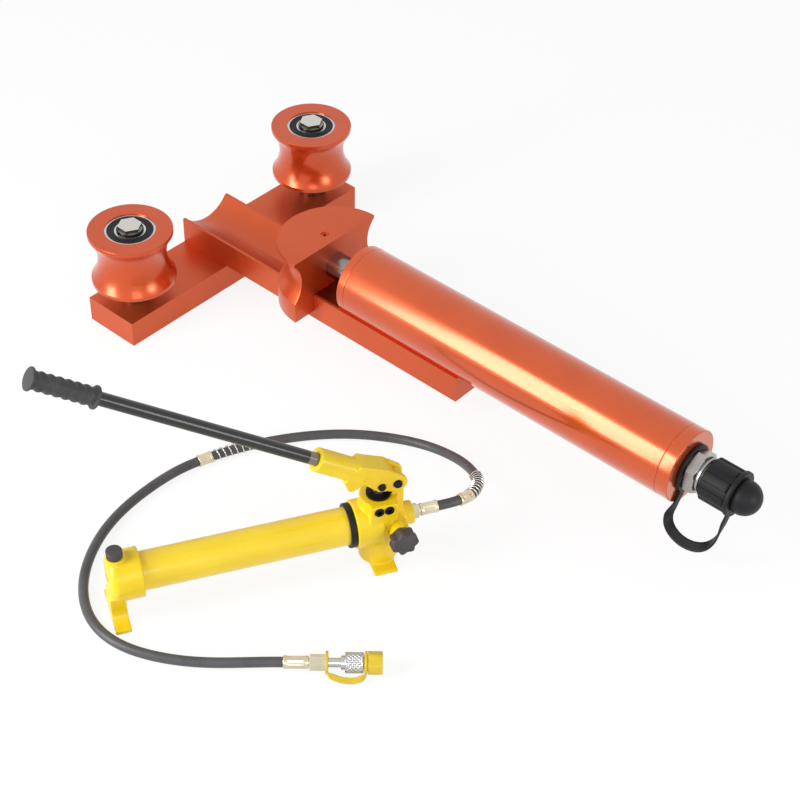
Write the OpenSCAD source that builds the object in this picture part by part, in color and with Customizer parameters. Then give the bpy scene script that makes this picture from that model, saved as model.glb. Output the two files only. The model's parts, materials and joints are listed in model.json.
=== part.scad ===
// Hydraulic pipe bender: bending head with its ram, and the hand pump with its hose.
// X runs along the ram, away from the rollers. Y runs along the cross bar. Z is up.
// The origin is the middle of the cross bar's underside. Lengths are millimetres.

/* [Cross bar] */
// Width of the cross bar
bar_w = 78; // [74:1:90]
// Length of the cross bar
bar_len = 400; // [380:1:440]
// Height of the cross bar
bar_h = 34; // [28:1:40]

/* [Base beam] */
// Width of the beam that carries the cylinder
beam_w = 78; // [74:1:84]
// Length of the beam
beam_len = 459; // [420:1:500]
// Height of the beam from its underside to its lips
beam_h = 35; // [30:0.5:40]
// Metal left under the round trough
beam_floor = 17; // [14:0.5:20]

/* [Rollers] */
// Outer diameter of a roller
roller_d = 104; // [98:1:110]
// Height of a roller
roller_h = 72; // [66:1:80]
// Distance between the two roller pins
roller_spacing = 315; // [290:1:330]
// Gap from the cross bar to the underside of a roller
roller_lift = 29.5; // [24:0.5:34]
// Depth of the pipe groove in a roller
roller_groove = 10; // [6:0.5:12]
// Height of the plain rim above and below the groove
roller_rim = 5; // [3:0.5:7]

/* [Bearings] */
// Outer diameter of a ball bearing
bearing_od = 62; // [58:1:66]
// Bore of a ball bearing, which is the diameter of the roller pin
bearing_bore = 30; // [28:1:32]
// Width of a ball bearing
bearing_w = 16; // [14:0.5:18]
// Diameter of a bearing ball
ball_d = 9.5; // [8.5:0.1:10]
// Balls in one bearing
ball_count = 9; // [6:1:9]
// Depth of the bearing below the face of its roller
bearing_recess = 1.5; // [0.8:0.1:3]
// Width across flats of the pin's hexagon end
pin_hex_af = 26; // [22:0.5:26]
// Height of the hexagon end above the bearing
pin_hex_h = 8; // [5:0.5:12]

/* [Bending shoe] */
// Radius of the half-round shoe
shoe_r = 70; // [62:1:78]
// Place of the shoe's flat back face when the ram is in
shoe_back = 191; // [186:1:200]
// Thickness of the lip above the groove
shoe_lip = 3.5; // [2.5:0.5:6]
// Height of the groove in the shoe
shoe_groove_h = 56; // [50:1:58]
// Depth of the groove in the shoe
shoe_groove = 12; // [8:0.5:14]
// Gap from the cross bar to the legs of the shoe
shoe_leg_gap = 10; // [6:0.5:14]
// Diameter of the set screw in the top of the shoe
set_screw_d = 10; // [6:0.5:12]

/* [Ram and cylinder] */
// Diameter of the ram rod
rod_d = 33; // [30:0.5:36]
// Rod seen between the shoe and the cylinder when the ram is in
rod_show = 42.5; // [36:0.5:50]
// Outer diameter of the cylinder tube
tube_d = 87; // [82:1:92]
// Bore of the cylinder
bore_d = 64; // [58:1:68]
// Length of the cylinder tube
tube_len = 456; // [440:1:480]
// Thickness of the front gland's flange
gland_flange = 10.5; // [8:0.5:14]
// Length of the front gland inside the tube
gland_spigot = 31; // [26:1:38]
// Thickness of the rear cap's flange
cap_flange = 16; // [12:0.5:20]
// Length of the rear cap inside the tube
cap_spigot = 28; // [20:1:34]
// Length of the piston
piston_len = 26; // [20:1:32]
// Wire of the return spring
spring_wire = 5; // [4:0.25:6]
// Turns of the return spring
spring_turns = 18; // [12:1:20]

/* [Head coupler] */
// Width across flats of the coupler's hexagon
nipple_af = 45; // [40:0.5:48]
// Diameter of the coupler's collar
nipple_collar_d = 42; // [40:0.5:46]
// Diameter of the plug tip under the dust cap
nipple_tip_d = 12; // [10:0.5:14]
// Outer diameter of the dust cap across its ribs
dust_d = 51; // [50:0.5:56]
// Length of the dust cap's skirt
dust_skirt = 33; // [30:0.5:38]
// Diameter of the dust cap's dome
dust_dome_d = 40; // [36:0.5:42]
// Ribs round the dust cap
dust_ribs = 8; // [6:1:12]
// Width of the rubber strap
strap_w = 10; // [7:0.5:12]
// Thickness of the rubber strap
strap_t = 2.6; // [2:0.1:3.5]

/* [Pump tank] */
// Outer diameter of the oil tank
tank_d = 42; // [40:0.5:46]
// Wall of the oil tank
tank_wall = 3; // [2:0.25:4]
// Distance between the two feet of the pump
feet_span = 286; // [275:1:310]
// Height of the tank's axis above the floor
tank_z = 54; // [50:0.5:58]
// Thickness of a foot plate
foot_t = 5; // [4:0.5:7]
// Length of a foot plate across the pump
foot_len = 64; // [60:1:80]
// Diameter of the filler cap
filler_d = 17.5; // [15:0.5:20]
// Height of the filler cap
filler_h = 9; // [8:0.5:14]

/* [Pump block] */
// Diameter of the pump's upright column
column_d = 42; // [38:0.5:46]
// Height of the column above the floor
column_top = 93; // [90:0.5:95]
// Diameter of the plunger
plunger_d = 16; // [14:0.5:18]
// Height of the two lever pins above the floor
pin_z = 112; // [110:0.5:118]
// Distance from the plunger pin to the pivot pin
pin_gap = 17.5; // [17.5:0.5:20]
// Diameter of the pivot pin
pivot_d = 9; // [8:0.5:10]
// Diameter of the plunger pin
wrist_d = 8; // [7:0.5:9]
// Diameter of the release knob
knob_d = 31; // [28:0.5:36]
// Thickness of the release knob
knob_t = 14; // [11:0.5:18]
// Lobes of the release knob
knob_lobes = 7; // [5:1:9]

/* [Lever] */
// Length from the pivot to the end of the grip
lever_len = 425; // [390:1:460]
// Angle of the lever above the floor as it stands
lever_angle = 33; // [28:1:36]
// Outer diameter of the lever tube
lever_d = 14; // [12.5:0.5:16]
// Length of the lever's cast head
lever_head_len = 98; // [94:1:112]
// Length of the grip
grip_len = 72; // [66:1:90]
// Diameter of the grip
grip_d = 18; // [17.5:0.25:20]
// Diameter of the grip's end flanges
grip_flange_d = 24; // [22:0.5:28]

/* [Hose] */
// Outer diameter of the hose
hose_d = 11; // [9.5:0.25:12]
// Diameter of the crimped ferrules
ferrule_d = 14; // [13:0.25:16]
// Length of the crimped ferrule at the pump end
ferrule_len = 20; // [18:0.5:26]
// Length of the crimped ferrule at the coupler end
end_ferrule_len = 26; // [22:0.5:30]
// Wire of the guard springs on the hose
guard_wire = 1.6; // [1.2:0.1:2]
// Turns of the guard spring near the pump
guard_turns = 9; // [6:1:10]
// Turns of the guard spring on the far bend
far_guard_turns = 6; // [4:1:8]

/* [Hose coupler] */
// Width across flats of the hose's hexagon fitting
hose_hex_af = 15; // [13:0.25:17]
// Length of the hose's hexagon fitting
hose_hex_len = 16; // [13:0.5:19]
// Diameter of the coupler's neck
neck_d = 10; // [9:0.25:11]
// Diameter of the sliding sleeve
sleeve_d = 22; // [21:0.25:24]
// Length of the sliding sleeve
sleeve_len = 19; // [17:0.5:22]
// Travel of the sliding sleeve
sleeve_travel = 4; // [3:0.25:5]
// Width across flats of the coupler's plug cap
plug_af = 22; // [20:0.5:24]
// Length of the coupler's plug cap
plug_len = 19; // [15:0.5:20]

/* [Hidden] */
$fn = 96;

// Fits and cuts shared by all pieces
fit = 0.02;
run = 0.1;
clear = 0.4;
over = 1;

// Paint, metal and rubber
orange = "#d8572a";
steel = "#b9bcc0";
bright = "#d6d8da";
black = "#2b2b2e";
yellow = "#f2cf1d";
zinc = "#cdbb86";

// Heights and places on the head
tube_r = tube_d / 2;
bore_r = bore_d / 2;
rod_r = rod_d / 2;
beam_top = bar_h + beam_h;
axis_z = bar_h + beam_floor + tube_r;
beam_front = -bar_w / 2;
roller_r = roller_d / 2;
roller_z = bar_h + roller_lift;
roller_mid = roller_z + roller_h / 2;
pin_y = roller_spacing / 2;
gland_x = shoe_back + rod_show;
tube_x = gland_x + gland_flange;
rear_x = tube_x + tube_len;
end_x = rear_x + cap_flange;

// Screws under the head
beam_screw_d = 10;
beam_screw_head_d = 16;
beam_screw_head_h = 10;
beam_screw_sink = 1;
beam_screw_grip = 13;
beam_screw_x_share = 0.28;
beam_screw_y_share = 0.31;
tube_screw_d = 8;
tube_screw_head_d = 13;
tube_screw_head_h = 8;
tube_screw_grip = 8;
tube_screw_shares = [0.12, 0.3];
socket_share = 0.5;
socket_deep_share = 0.55;

// Bearings and pins
pitch_r = (bearing_od + bearing_bore) / 4;
land_share = 0.4;
inner_land_r = pitch_r - ball_d * land_share;
outer_land_r = pitch_r + ball_d * land_share;
race_gap = 0.3;
seal_t = 1.4;
seal_sink = 0.5;
seal_r = 28.4;
low_bearing_z = roller_z + bearing_recess;
high_bearing_z = roller_z + roller_h - bearing_recess - bearing_w;
bearing_zs = [low_bearing_z, high_bearing_z];
pin_r = bearing_bore / 2;
pin_thread_d = 20;
pin_thread_len = 26;
spacer_d = 37;
circlip_t = 1.8;
circlip_w = 3.2;
circlip_gap = 7;

// Shoe
shoe_top = roller_mid + shoe_groove_h / 2 + shoe_lip;
shoe_bottom = bar_h + shoe_leg_gap;
shoe_slot_w = beam_w + 2 * clear;
shoe_slot_top = beam_top + clear;
shoe_socket = 34;
set_screw_x = shoe_back - shoe_socket / 2;
set_screw_sink = 1.5;
set_screw_hex_share = 0.5;

// Inside the cylinder
rod_front_x = shoe_back - shoe_socket;
piston_gap = 8;
piston_x = rear_x - cap_spigot - piston_gap - piston_len;
gland_end_x = tube_x + gland_spigot;
rod_end_x = piston_x + piston_len;
seal_w = 7;
seal_deep = 4;
piston_step_share = 0.7;
piston_step_r = rod_r * piston_step_share;
spring_x = gland_end_x + clear;
spring_len = piston_x - clear - spring_x;
spring_r = (rod_r + bore_r) / 2;

// Head coupler and dust cap, along X from the rear cap
nipple_neck_r = 15;
nipple_thread_r = 10;
nipple_bore_r = 3;
strap_ring_r = 28.5;
strap_ring_t = 5;
hex_x = end_x + strap_ring_t + clear;
hex_len = 13;
collar_x = hex_x + hex_len;
collar_len = 4;
tip_root_x = collar_x + collar_len;
nipple_shank_len = 16;
nipple_tip_len = 20;
dust_gap = 3;
dust_x = tip_root_x + dust_gap;
dust_skirt_end = dust_x + dust_skirt;
dust_neck_len = 6;
dust_neck_r = 17;
dust_rib_h = 1.6;
dust_rib_w = 5;
dust_dome_x = dust_skirt_end + dust_neck_len;
dust_dome_len = 5;
strap_far_r = 27;
strap_near_x = end_x + strap_ring_t / 2;
strap_far_x = dust_skirt_end + dust_neck_len / 2;
strap_far_t = dust_neck_len - 2 * clear;
strap_tilt = 30;
strap_drop = 78;
strap_shares = [[0, 0.28], [0, 0.6], [-0.07, 0.74], [0.02, 0.9], [0.3, 1], [0.62, 1], [0.88, 0.9], [1, 0.7],
    [0.98, 0.5], [1, 0.3]];

// Pump frame: U runs from the rear bracket to the block, V across, Z up
pump_x = 353;
pump_y = -504.9;
pump_turn = 60;
tank_r = tank_d / 2;
shell_t = 6;
shell_r = tank_r + shell_t;
bracket_back = -7;
bracket_len = 35;
bracket_end = bracket_back + bracket_len;
bracket_round = 9;
bracket_wall = 7;
tank_seat = 8;
tank_u = bracket_end - tank_seat;
rear_foot_w = 17;
front_foot_w = 26;
pedestal_v = 26;
foot_round = 12;
filler_u = 3;
filler_boss_r = 10;
filler_boss_h = 2;
filler_stem_d = 9;
filler_stem_len = 9;
filler_teeth = 28;
filler_tooth = 0.5;
filler_z = tank_z + shell_r + filler_boss_h;
column_r = column_d / 2;
column_u = feet_span;
collar_out = 8;
collar_u = column_u - column_r - collar_out;
ring_t = 7;
ring_wall = 3.6;
ring_u = collar_u - ring_t - clear;
tank_end = collar_u + tank_seat;
tie_d = 8;
tie_thread = 10;

// Pump block, its plunger and its valves
plunger_r = plunger_d / 2;
pivot_u = column_u + pin_gap;
ear_t = 12;
ear_r = 9;
gland_r = 13.5;
gland_h = 3;
gland_thread_r = 11;
gland_thread_len = 4;
plunger_bottom = 34;
plunger_fall = 8;
eye_top = 10;
eye_drop = 13;
eye_slot = 0.8;
eye_run = 2;
pad_v = 22;
pad_u = 30;
pad_h = 24;
plug_d = 10;
plug_len_in = 6.5;
plug_pitch = 11;
plug_drop = 7.5;
plug_z = column_top - plug_drop;
plug_proud = 1;
check_ball_d = 6;
outlet_z = 54;
outlet_r = 13;
outlet_len = 38;
outlet_end = column_u + outlet_len;
outlet_thread_r = 6;
outlet_thread_len = 12;
port_r = 3;
knob_side = 16;
knob_u = column_u + knob_side;
knob_z = 54;
knob_boss_r = 11.5;
knob_boss_v = -30;
spindle_r = 5;
spindle_tip_v = -14;
knob_gap = 2.5;
knob_wave_share = 0.1;
knob_round = 4;
knob_sink = 9;

// Lever
lever_r = lever_d / 2;
cheek_t = 5.5;
fork_gap = ear_t + 2 * clear;
fork_w = fork_gap + 2 * cheek_t;
pivot_r = pivot_d / 2;
wrist_r = wrist_d / 2;
cheek_r = 11;
wrist_boss_r = 7.5;
socket_r = 13;
socket_drop = 6;
socket_len = 46;
socket_root = lever_head_len - socket_len;
tube_in_socket = 40;
web_start = 12;
web_lift = 5;
crown_u = 20;
crown_lift = 12.5;
tooth_back = 58;
tooth_u = 46;
tooth_drop = 26;
tooth_w = 12;
notch_u = 34;
notch_drop = 13.5;
solid_u = 34;
lever_wall = 2.5;
wrist_x = -pin_gap * cos(lever_angle);
wrist_z = -pin_gap * sin(lever_angle);
pin_over = 2;
grip_flange_t = 3.5;
grip_bumps = 7;
grip_bump_h = 1;

// Hose fittings at the pump
adapter_hex_af = 15;
adapter_hex_len = 6;
adapter_neck_len = 3;
ferrule_u = outlet_end + adapter_hex_len + adapter_neck_len;
hose_start_u = ferrule_u + ferrule_len;
hose_r = hose_d / 2;
ferrule_r = ferrule_d / 2;

// Hose coupler, lying on the floor
coupler_x = 536;
coupler_y = -444;
coupler_turn = 42;
coupler_z = (plug_af / cos(30)) / 2 + clear;
hex_gap = 1;
end_hex_x = end_ferrule_len + hex_gap;
tether_ring_x = end_hex_x + hose_hex_len;
tether_ring_t = 3;
neck_x = tether_ring_x + tether_ring_t;
neck_len = 17;
sleeve_x = neck_x + neck_len;
body_r = 7.5;
body_len = sleeve_len - clear;
body_flange_r = 8.6;
body_flange_t = 1.2;
socket_bore_r = nipple_tip_d / 2 + run;
socket_bore_len = 14;
sleeve_wall_gap = 0.3;
sleeve_shoulder = 4;
sleeve_rings = 4;
sleeve_ring_w = 1.2;
sleeve_ring_deep = 0.8;
coupler_wire = 0.9;
coupler_wire_gap = 0.55;
coupler_turns = 4;
plug_x = sleeve_x + sleeve_len + clear;
plug_collar_len = 4;
plug_collar_r = 8.5;
plug_pin_r = socket_bore_r - run;
plug_pin_len = 10;
tether_ring_r = 12;
tether_w = 5;
tether_t = 2.6;
tether_reach = plug_x + plug_collar_len / 2 - tether_ring_x - tether_ring_t / 2;
tether_tilt = 62;
tether_shares = [[0, 0.75], [0, 1.15], [0.14, 1.55], [0.36, 1.7], [0.64, 1.7], [0.86, 1.55], [1, 1.15],
    [1, 0.82]];

// Route of the hose on the floor, chosen by hand, between its two ferrules
hose_route = [[543, -170, 53], [543, -153, 50], [536, -137, 46], [525, -125, 41], [509, -115, 35],
    [489, -106, 28], [464, -100, 20], [434, -98, 12], [402, -105, 7], [360, -129, 6], [325, -161, 6],
    [294, -203, 7], [270, -248, 8], [254, -290, 8], [245, -322, 7], [243, -363, 6], [246, -399, 6],
    [254, -434, 6], [270, -469, 6], [292, -500, 6], [321, -525, 6], [355, -539, 6], [391, -539, 6],
    [427, -526, 6], [461, -505, 6], [487, -485, 8], [507, -469, 11]];
hose_out = 16;
coupler_out = 14;
hose_steps = 2;
hose_sides = 10;
guard_start = 44;
guard_len = 46;
far_guard_start = 402;
far_guard_len = 44;
guard_ferrule_len = 17;
guard_gap = 1;
wire_sides = 6;
turn_rings = 12;

// Points of the hose's centre line, with both ends running straight out of the ferrules
function pump_point(u, v, z) = [pump_x + u * cos(pump_turn) - v * sin(pump_turn),
    pump_y + u * sin(pump_turn) + v * cos(pump_turn), z];
function coupler_point(x) = [coupler_x + x * cos(coupler_turn), coupler_y + x * sin(coupler_turn), coupler_z];
route = concat([pump_point(hose_start_u, 0, outlet_z), pump_point(hose_start_u + hose_out, 0, outlet_z)],
    hose_route, [coupler_point(-coupler_out), coupler_point(0)]);

// A smooth curve that follows the points p: a cubic B-spline, straight at its two ends, at k segments along
function at(p, i) = i < 0 ? 2 * p[0] - p[1] : i < len(p) ? p[i] : 2 * p[len(p) - 1] - p[len(p) - 2];
function curve(p, k) = let (i = min(floor(k), len(p) - 2), t = k - i, s = 1 - t)
    (s * s * s * at(p, i - 1) + (3 * t * t * t - 6 * t * t + 4) * at(p, i)
        + (3 * s * s * s - 6 * s * s + 4) * at(p, i + 1) + t * t * t * at(p, i + 2)) / 6;
function smooth_line(p, steps) = [for (i = [0 : (len(p) - 1) * steps]) curve(p, i / steps)];
function runs_along(p) = [for (i = 0, s = 0; i < len(p); s = s + norm(at(p, i + 1) - p[i]), i = i + 1) s];

// Frames carried along a line without twisting: side vectors square to each tangent
function unit(v) = v / norm(v);
function tangent(p, i) = unit(at(p, i + 1) - at(p, i - 1));
function square_to(v, t) = unit(v - (v * t) * t);
function first_side(t) = square_to(abs(t[2]) < 0.9 ? [0, 0, 1] : [1, 0, 0], t);
function sides_along(p) = [for (i = 0, s = first_side(tangent(p, 0)); i < len(p);
    i = i + 1, s = i < len(p) ? square_to(s, tangent(p, i)) : s) s];

// A closed skin over rings of n points each
module skin(rings) {
    n = len(rings[0]);
    m = len(rings);
    polyhedron([for (r = rings) each r], concat(
        [for (i = [0 : m - 2], j = [0 : n - 1]) each [
            [i * n + j, (i + 1) * n + j, i * n + (j + 1) % n],
            [i * n + (j + 1) % n, (i + 1) * n + j, (i + 1) * n + (j + 1) % n]]],
        [for (j = [1 : n - 2]) [0, j, j + 1]],
        [for (j = [1 : n - 2]) [(m - 1) * n, (m - 1) * n + j + 1, (m - 1) * n + j]]));
}
module tube_along(p, r, n) {
    s = sides_along(p);
    skin([for (i = [0 : len(p) - 1]) let (t = tangent(p, i), b = cross(t, s[i]))
        [for (j = [0 : n - 1]) p[i] + r * (cos(360 * j / n) * s[i] - sin(360 * j / n) * b)]]);
}
// A band of width w and thickness t, bent along the line p of distances along X and below it
module flat_band(p, w, t) {
    normals = [for (i = [0 : len(p) - 1]) let (d = unit(at(p, i + 1) - at(p, i - 1))) [-d[1], d[0]] * t / 2];
    rotate([-90, 0, 0]) translate([0, 0, -w / 2]) linear_extrude(w) polygon(concat(
        [for (i = [0 : len(p) - 1]) p[i] + normals[i]],
        [for (i = [len(p) - 1 : -1 : 0]) p[i] - normals[i]]));
}

// A helix about a line, and the least gap between its turns
function helix_about(p, r, turns) = let (s = sides_along(p), n = len(p) - 1)
    [for (i = [0 : n]) let (t = tangent(p, i), a = 360 * turns * i / n)
        p[i] + r * (cos(a) * s[i] + sin(a) * cross(t, s[i]))];
function least_gap(p, wire) = min([for (i = [0 : len(p) - 1], j = [i + turn_rings - 2 : 1 : len(p) - 1])
    norm(p[i] - p[j])]) - wire;
function line_between(a, b, n) = [for (i = [0 : n]) a + (b - a) * i / n];

return_helix = helix_about(line_between([spring_x + spring_wire / 2, 0, axis_z],
    [spring_x + spring_len - spring_wire / 2, 0, axis_z], spring_turns * turn_rings), spring_r, spring_turns);
hose_runs = runs_along(smooth_line(route, turn_rings));
hose_len = hose_runs[len(hose_runs) - 1];
hose_table = [for (i = [0 : len(hose_runs) - 1]) [hose_runs[i], i / turn_rings]];
function hose_piece(start, length, n) =
    [for (i = [0 : n]) curve(route, lookup(start + length * i / n, hose_table))];
guard_r = hose_r + guard_wire / 2 + sleeve_wall_gap;
guard_helix = helix_about(hose_piece(guard_start, guard_len, guard_turns * turn_rings), guard_r, guard_turns);
far_guard_helix = helix_about(hose_piece(far_guard_start, far_guard_len, far_guard_turns * turn_rings),
    guard_r, far_guard_turns);
echo(hose_length = hose_len);
echo(return_spring_gap = least_gap(return_helix, spring_wire));
echo(guard_spring_gap = least_gap(guard_helix, guard_wire));
echo(far_guard_spring_gap = least_gap(far_guard_helix, guard_wire));

// Shapes used by many pieces
module bar_x(r, x0, x1) { translate([x0, 0, 0]) rotate([0, 90, 0]) cylinder(r = r, h = x1 - x0); }
module ring_x(r_in, r_out, x0, x1) {
    difference() {
        bar_x(r_out, x0, x1);
        bar_x(r_in, x0 - over, x1 + over);
    }
}
module hex_x_bar(af, x0, x1) {
    translate([x0, 0, 0]) rotate([0, 90, 0]) cylinder(r = af / 2 / cos(30), h = x1 - x0, $fn = 6);
}
module bar_v(r, v0, v1) { translate([0, v1, 0]) rotate([90, 0, 0]) cylinder(r = r, h = v1 - v0); }
module ring(r_in, r_out, h) {
    difference() {
        cylinder(r = r_out, h = h);
        translate([0, 0, -over]) cylinder(r = r_in, h = h + 2 * over);
    }
}
// A round groove cut into a turned piece of radius r, centred at height 0
module groove(r, depth, height) {
    arc_r = (height * height / 4 + depth * depth) / (2 * depth);
    rotate_extrude($fn = 128) translate([r - depth + arc_r, 0]) circle(r = arc_r, $fn = 96);
}
// A cap screw standing on its thread's end, head down, with a socket in the head
module cap_screw(d, head_d, head_h, grip) {
    difference() {
        union() {
            cylinder(d = head_d, h = head_h);
            cylinder(d = d, h = head_h + grip);
        }
        translate([0, 0, -over])
            cylinder(d = d * 2 * socket_share, h = head_h * socket_deep_share + over, $fn = 6);
    }
}
module screw_hole(d, head_d, head_h, grip) {
    translate([0, 0, -over]) cylinder(d = head_d + 2 * run, h = head_h + over + run);
    cylinder(d = d + 2 * fit, h = head_h + grip + run);
}
module at_axis() { translate([0, 0, axis_z]) children(); }
module at_pin(side) { translate([0, side * pin_y, 0]) children(); }
module pump_at() { translate([pump_x, pump_y, 0]) rotate([0, 0, pump_turn]) children(); }
module coupler_at() { translate([coupler_x, coupler_y, coupler_z]) rotate([0, 0, coupler_turn]) children(); }
module lever_at() { pump_at() translate([pivot_u, 0, pin_z]) rotate([0, lever_angle, 0]) children(); }
module beam_screw_places() {
    for (x = [-1, 1], y = [-1, 1])
        translate([x * bar_w * beam_screw_x_share, y * beam_w * beam_screw_y_share, 0]) children();
}
beam_screw_shank = bar_h - beam_screw_sink - beam_screw_head_h + beam_screw_grip;
tube_screw_shank = beam_floor - tube_screw_head_h - beam_screw_sink + tube_screw_grip;
module tube_screw_places() {
    for (s = tube_screw_shares) translate([tube_x + tube_len * s, 0, bar_h]) children();
}

// Frame of the head
module cross_bar() {
    color(orange) difference() {
        translate([-bar_w / 2, -bar_len / 2, 0]) cube([bar_w, bar_len, bar_h]);
        beam_screw_places() translate([0, 0, beam_screw_sink])
            screw_hole(beam_screw_d, beam_screw_head_d, beam_screw_head_h, beam_screw_shank);
        beam_screw_places() translate([0, 0, -over])
            cylinder(d = beam_screw_head_d + 2 * run, h = beam_screw_sink + 2 * over);
        for (side = [-1, 1]) at_pin(side) translate([0, 0, bar_h - pin_thread_len - run])
            cylinder(d = pin_thread_d + 2 * run, h = pin_thread_len + run + over);
    }
}
module base_beam() {
    color(orange) difference() {
        translate([beam_front, -beam_w / 2, bar_h]) cube([beam_len, beam_w, beam_h]);
        at_axis() bar_x(tube_r + run, beam_front - over, beam_front + beam_len + over);
        beam_screw_places() translate([0, 0, bar_h - over])
            cylinder(d = beam_screw_d + 2 * fit, h = beam_screw_grip + over + run);
        tube_screw_places() translate([0, 0, beam_screw_sink])
            screw_hole(tube_screw_d, tube_screw_head_d, tube_screw_head_h, beam_floor + over);
        tube_screw_places() translate([0, 0, -over])
            cylinder(d = tube_screw_head_d + 2 * run, h = beam_screw_sink + 2 * over);
    }
}
module beam_screws() {
    color(black) beam_screw_places() translate([0, 0, beam_screw_sink])
        cap_screw(beam_screw_d, beam_screw_head_d, beam_screw_head_h, beam_screw_shank);
}
module cylinder_screws() {
    color(black) tube_screw_places() translate([0, 0, beam_screw_sink])
        cap_screw(tube_screw_d, tube_screw_head_d, tube_screw_head_h, tube_screw_shank);
}

// Rollers on their bearings
module roller(side) {
    color(orange) at_pin(side) difference() {
        translate([0, 0, roller_z]) cylinder(r = roller_r, h = roller_h, $fn = 128);
        translate([0, 0, roller_mid]) groove(roller_r, roller_groove, roller_h - 2 * roller_rim);
        translate([0, 0, roller_z - over]) cylinder(r = outer_land_r, h = roller_h + 2 * over);
        translate([0, 0, roller_z - over])
            cylinder(d = bearing_od + 2 * fit, h = bearing_recess + bearing_w + over);
        translate([0, 0, high_bearing_z])
            cylinder(d = bearing_od + 2 * fit, h = bearing_recess + bearing_w + over);
    }
}
module race_cut(z) {
    translate([0, 0, z + bearing_w / 2])
        rotate_extrude() translate([pitch_r, 0]) circle(r = ball_d / 2 + race_gap, $fn = 48);
}
module outer_rings(side) {
    color(steel) at_pin(side) for (z = bearing_zs) difference() {
        translate([0, 0, z]) ring(outer_land_r, bearing_od / 2, bearing_w);
        for (end = [z - over, z + bearing_w - seal_sink - seal_t - fit]) translate([0, 0, end])
            cylinder(r = seal_r, h = seal_sink + seal_t + fit + over);
        race_cut(z);
    }
}
module bearing_inner_rings() {
    color(bright) for (side = [-1, 1]) at_pin(side) for (z = bearing_zs) difference() {
        translate([0, 0, z]) ring(pin_r + fit, inner_land_r, bearing_w);
        race_cut(z);
    }
}
module bearing_balls(side) {
    color(bright) at_pin(side) for (z = bearing_zs, i = [0 : ball_count - 1])
        rotate([0, 0, 360 * i / ball_count]) translate([pitch_r, 0, z + bearing_w / 2])
            sphere(d = ball_d, $fn = 32);
}
module bearing_seals(side) {
    color(black) at_pin(side) for (z = bearing_zs, up = [0, 1])
        translate([0, 0, up == 1 ? z + bearing_w - seal_sink - seal_t : z + seal_sink])
            ring(inner_land_r + clear, seal_r - fit, seal_t);
}
circlip_z = high_bearing_z + bearing_w + fit;
module roller_pins() {
    hex_top = high_bearing_z + bearing_w + pin_hex_h;
    hex_z = circlip_z + circlip_t + over;
    color(steel) for (side = [-1, 1]) at_pin(side) {
        difference() {
            translate([0, 0, bar_h]) cylinder(r = pin_r, h = hex_z - bar_h);
            translate([0, 0, circlip_z]) ring(pin_r - circlip_w / 2, pin_r + over, circlip_t + fit);
        }
        translate([0, 0, bar_h - pin_thread_len]) cylinder(d = pin_thread_d, h = pin_thread_len + over);
        translate([0, 0, hex_z - over])
            cylinder(r = pin_hex_af / 2 / cos(30), h = hex_top - hex_z + over, $fn = 6);
    }
}
module roller_spacers() {
    color(steel) for (side = [-1, 1]) at_pin(side) {
        translate([0, 0, bar_h]) ring(pin_r + fit, spacer_d / 2, low_bearing_z - bar_h);
        translate([0, 0, low_bearing_z + bearing_w])
            ring(pin_r + fit, spacer_d / 2, high_bearing_z - low_bearing_z - bearing_w);
    }
}
module pin_circlips() {
    color(black) for (side = [-1, 1]) at_pin(side) translate([0, 0, circlip_z]) difference() {
        ring(pin_r - circlip_w / 2 + fit, pin_r + circlip_w / 2, circlip_t - fit);
        translate([-circlip_gap / 2, -pin_r - circlip_w, -over])
            cube([circlip_gap, pin_r, circlip_t + 2 * over]);
    }
}

// Ram and its shoe
module bending_shoe() {
    color(orange) difference() {
        translate([shoe_back, 0, shoe_bottom]) cylinder(r = shoe_r, h = shoe_top - shoe_bottom, $fn = 160);
        translate([shoe_back, -shoe_r - over, shoe_bottom - over])
            cube([shoe_r + over, 2 * (shoe_r + over), shoe_top - shoe_bottom + 2 * over]);
        translate([shoe_back, 0, roller_mid]) groove(shoe_r, shoe_groove, shoe_groove_h);
        translate([shoe_back - shoe_r - over, -shoe_slot_w / 2, shoe_bottom - over])
            cube([shoe_r + 2 * over, shoe_slot_w, shoe_slot_top - shoe_bottom + over]);
        at_axis() bar_x(rod_r + fit, shoe_back - shoe_socket, shoe_back + over);
        translate([set_screw_x, 0, axis_z]) cylinder(d = set_screw_d + 2 * fit, h = shoe_top - axis_z + over);
    }
}
module shoe_set_screw() {
    len = shoe_top - set_screw_sink - axis_z - rod_r - fit;
    color(steel) translate([set_screw_x, 0, axis_z + rod_r + fit]) difference() {
        cylinder(d = set_screw_d, h = len);
        translate([0, 0, len - set_screw_d * set_screw_hex_share])
            cylinder(d = set_screw_d * set_screw_hex_share, h = set_screw_d, $fn = 6);
    }
}
module ram_rod() {
    color(bright) at_axis() {
        bar_x(rod_r, rod_front_x, piston_x);
        bar_x(piston_step_r, piston_x - over, rod_end_x);
    }
}
module piston() {
    groove_x = piston_x + (piston_len - seal_w) / 2;
    color(steel) at_axis() difference() {
        ring_x(piston_step_r + fit, bore_r - run, piston_x, rod_end_x);
        ring_x(bore_r - seal_deep, bore_r + over, groove_x, groove_x + seal_w);
    }
}
module piston_seal() {
    groove_x = piston_x + (piston_len - seal_w) / 2;
    color(black) at_axis()
        ring_x(bore_r - seal_deep + fit, bore_r - run, groove_x + fit, groove_x + seal_w - fit);
}
module rod_seal() {
    color(black) at_axis()
        ring_x(rod_r + run, rod_r + seal_deep - fit, gland_end_x - 2 * seal_w + fit,
            gland_end_x - seal_w - fit);
}
module return_spring() { color(steel) tube_along(return_helix, spring_wire / 2, wire_sides); }

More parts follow.
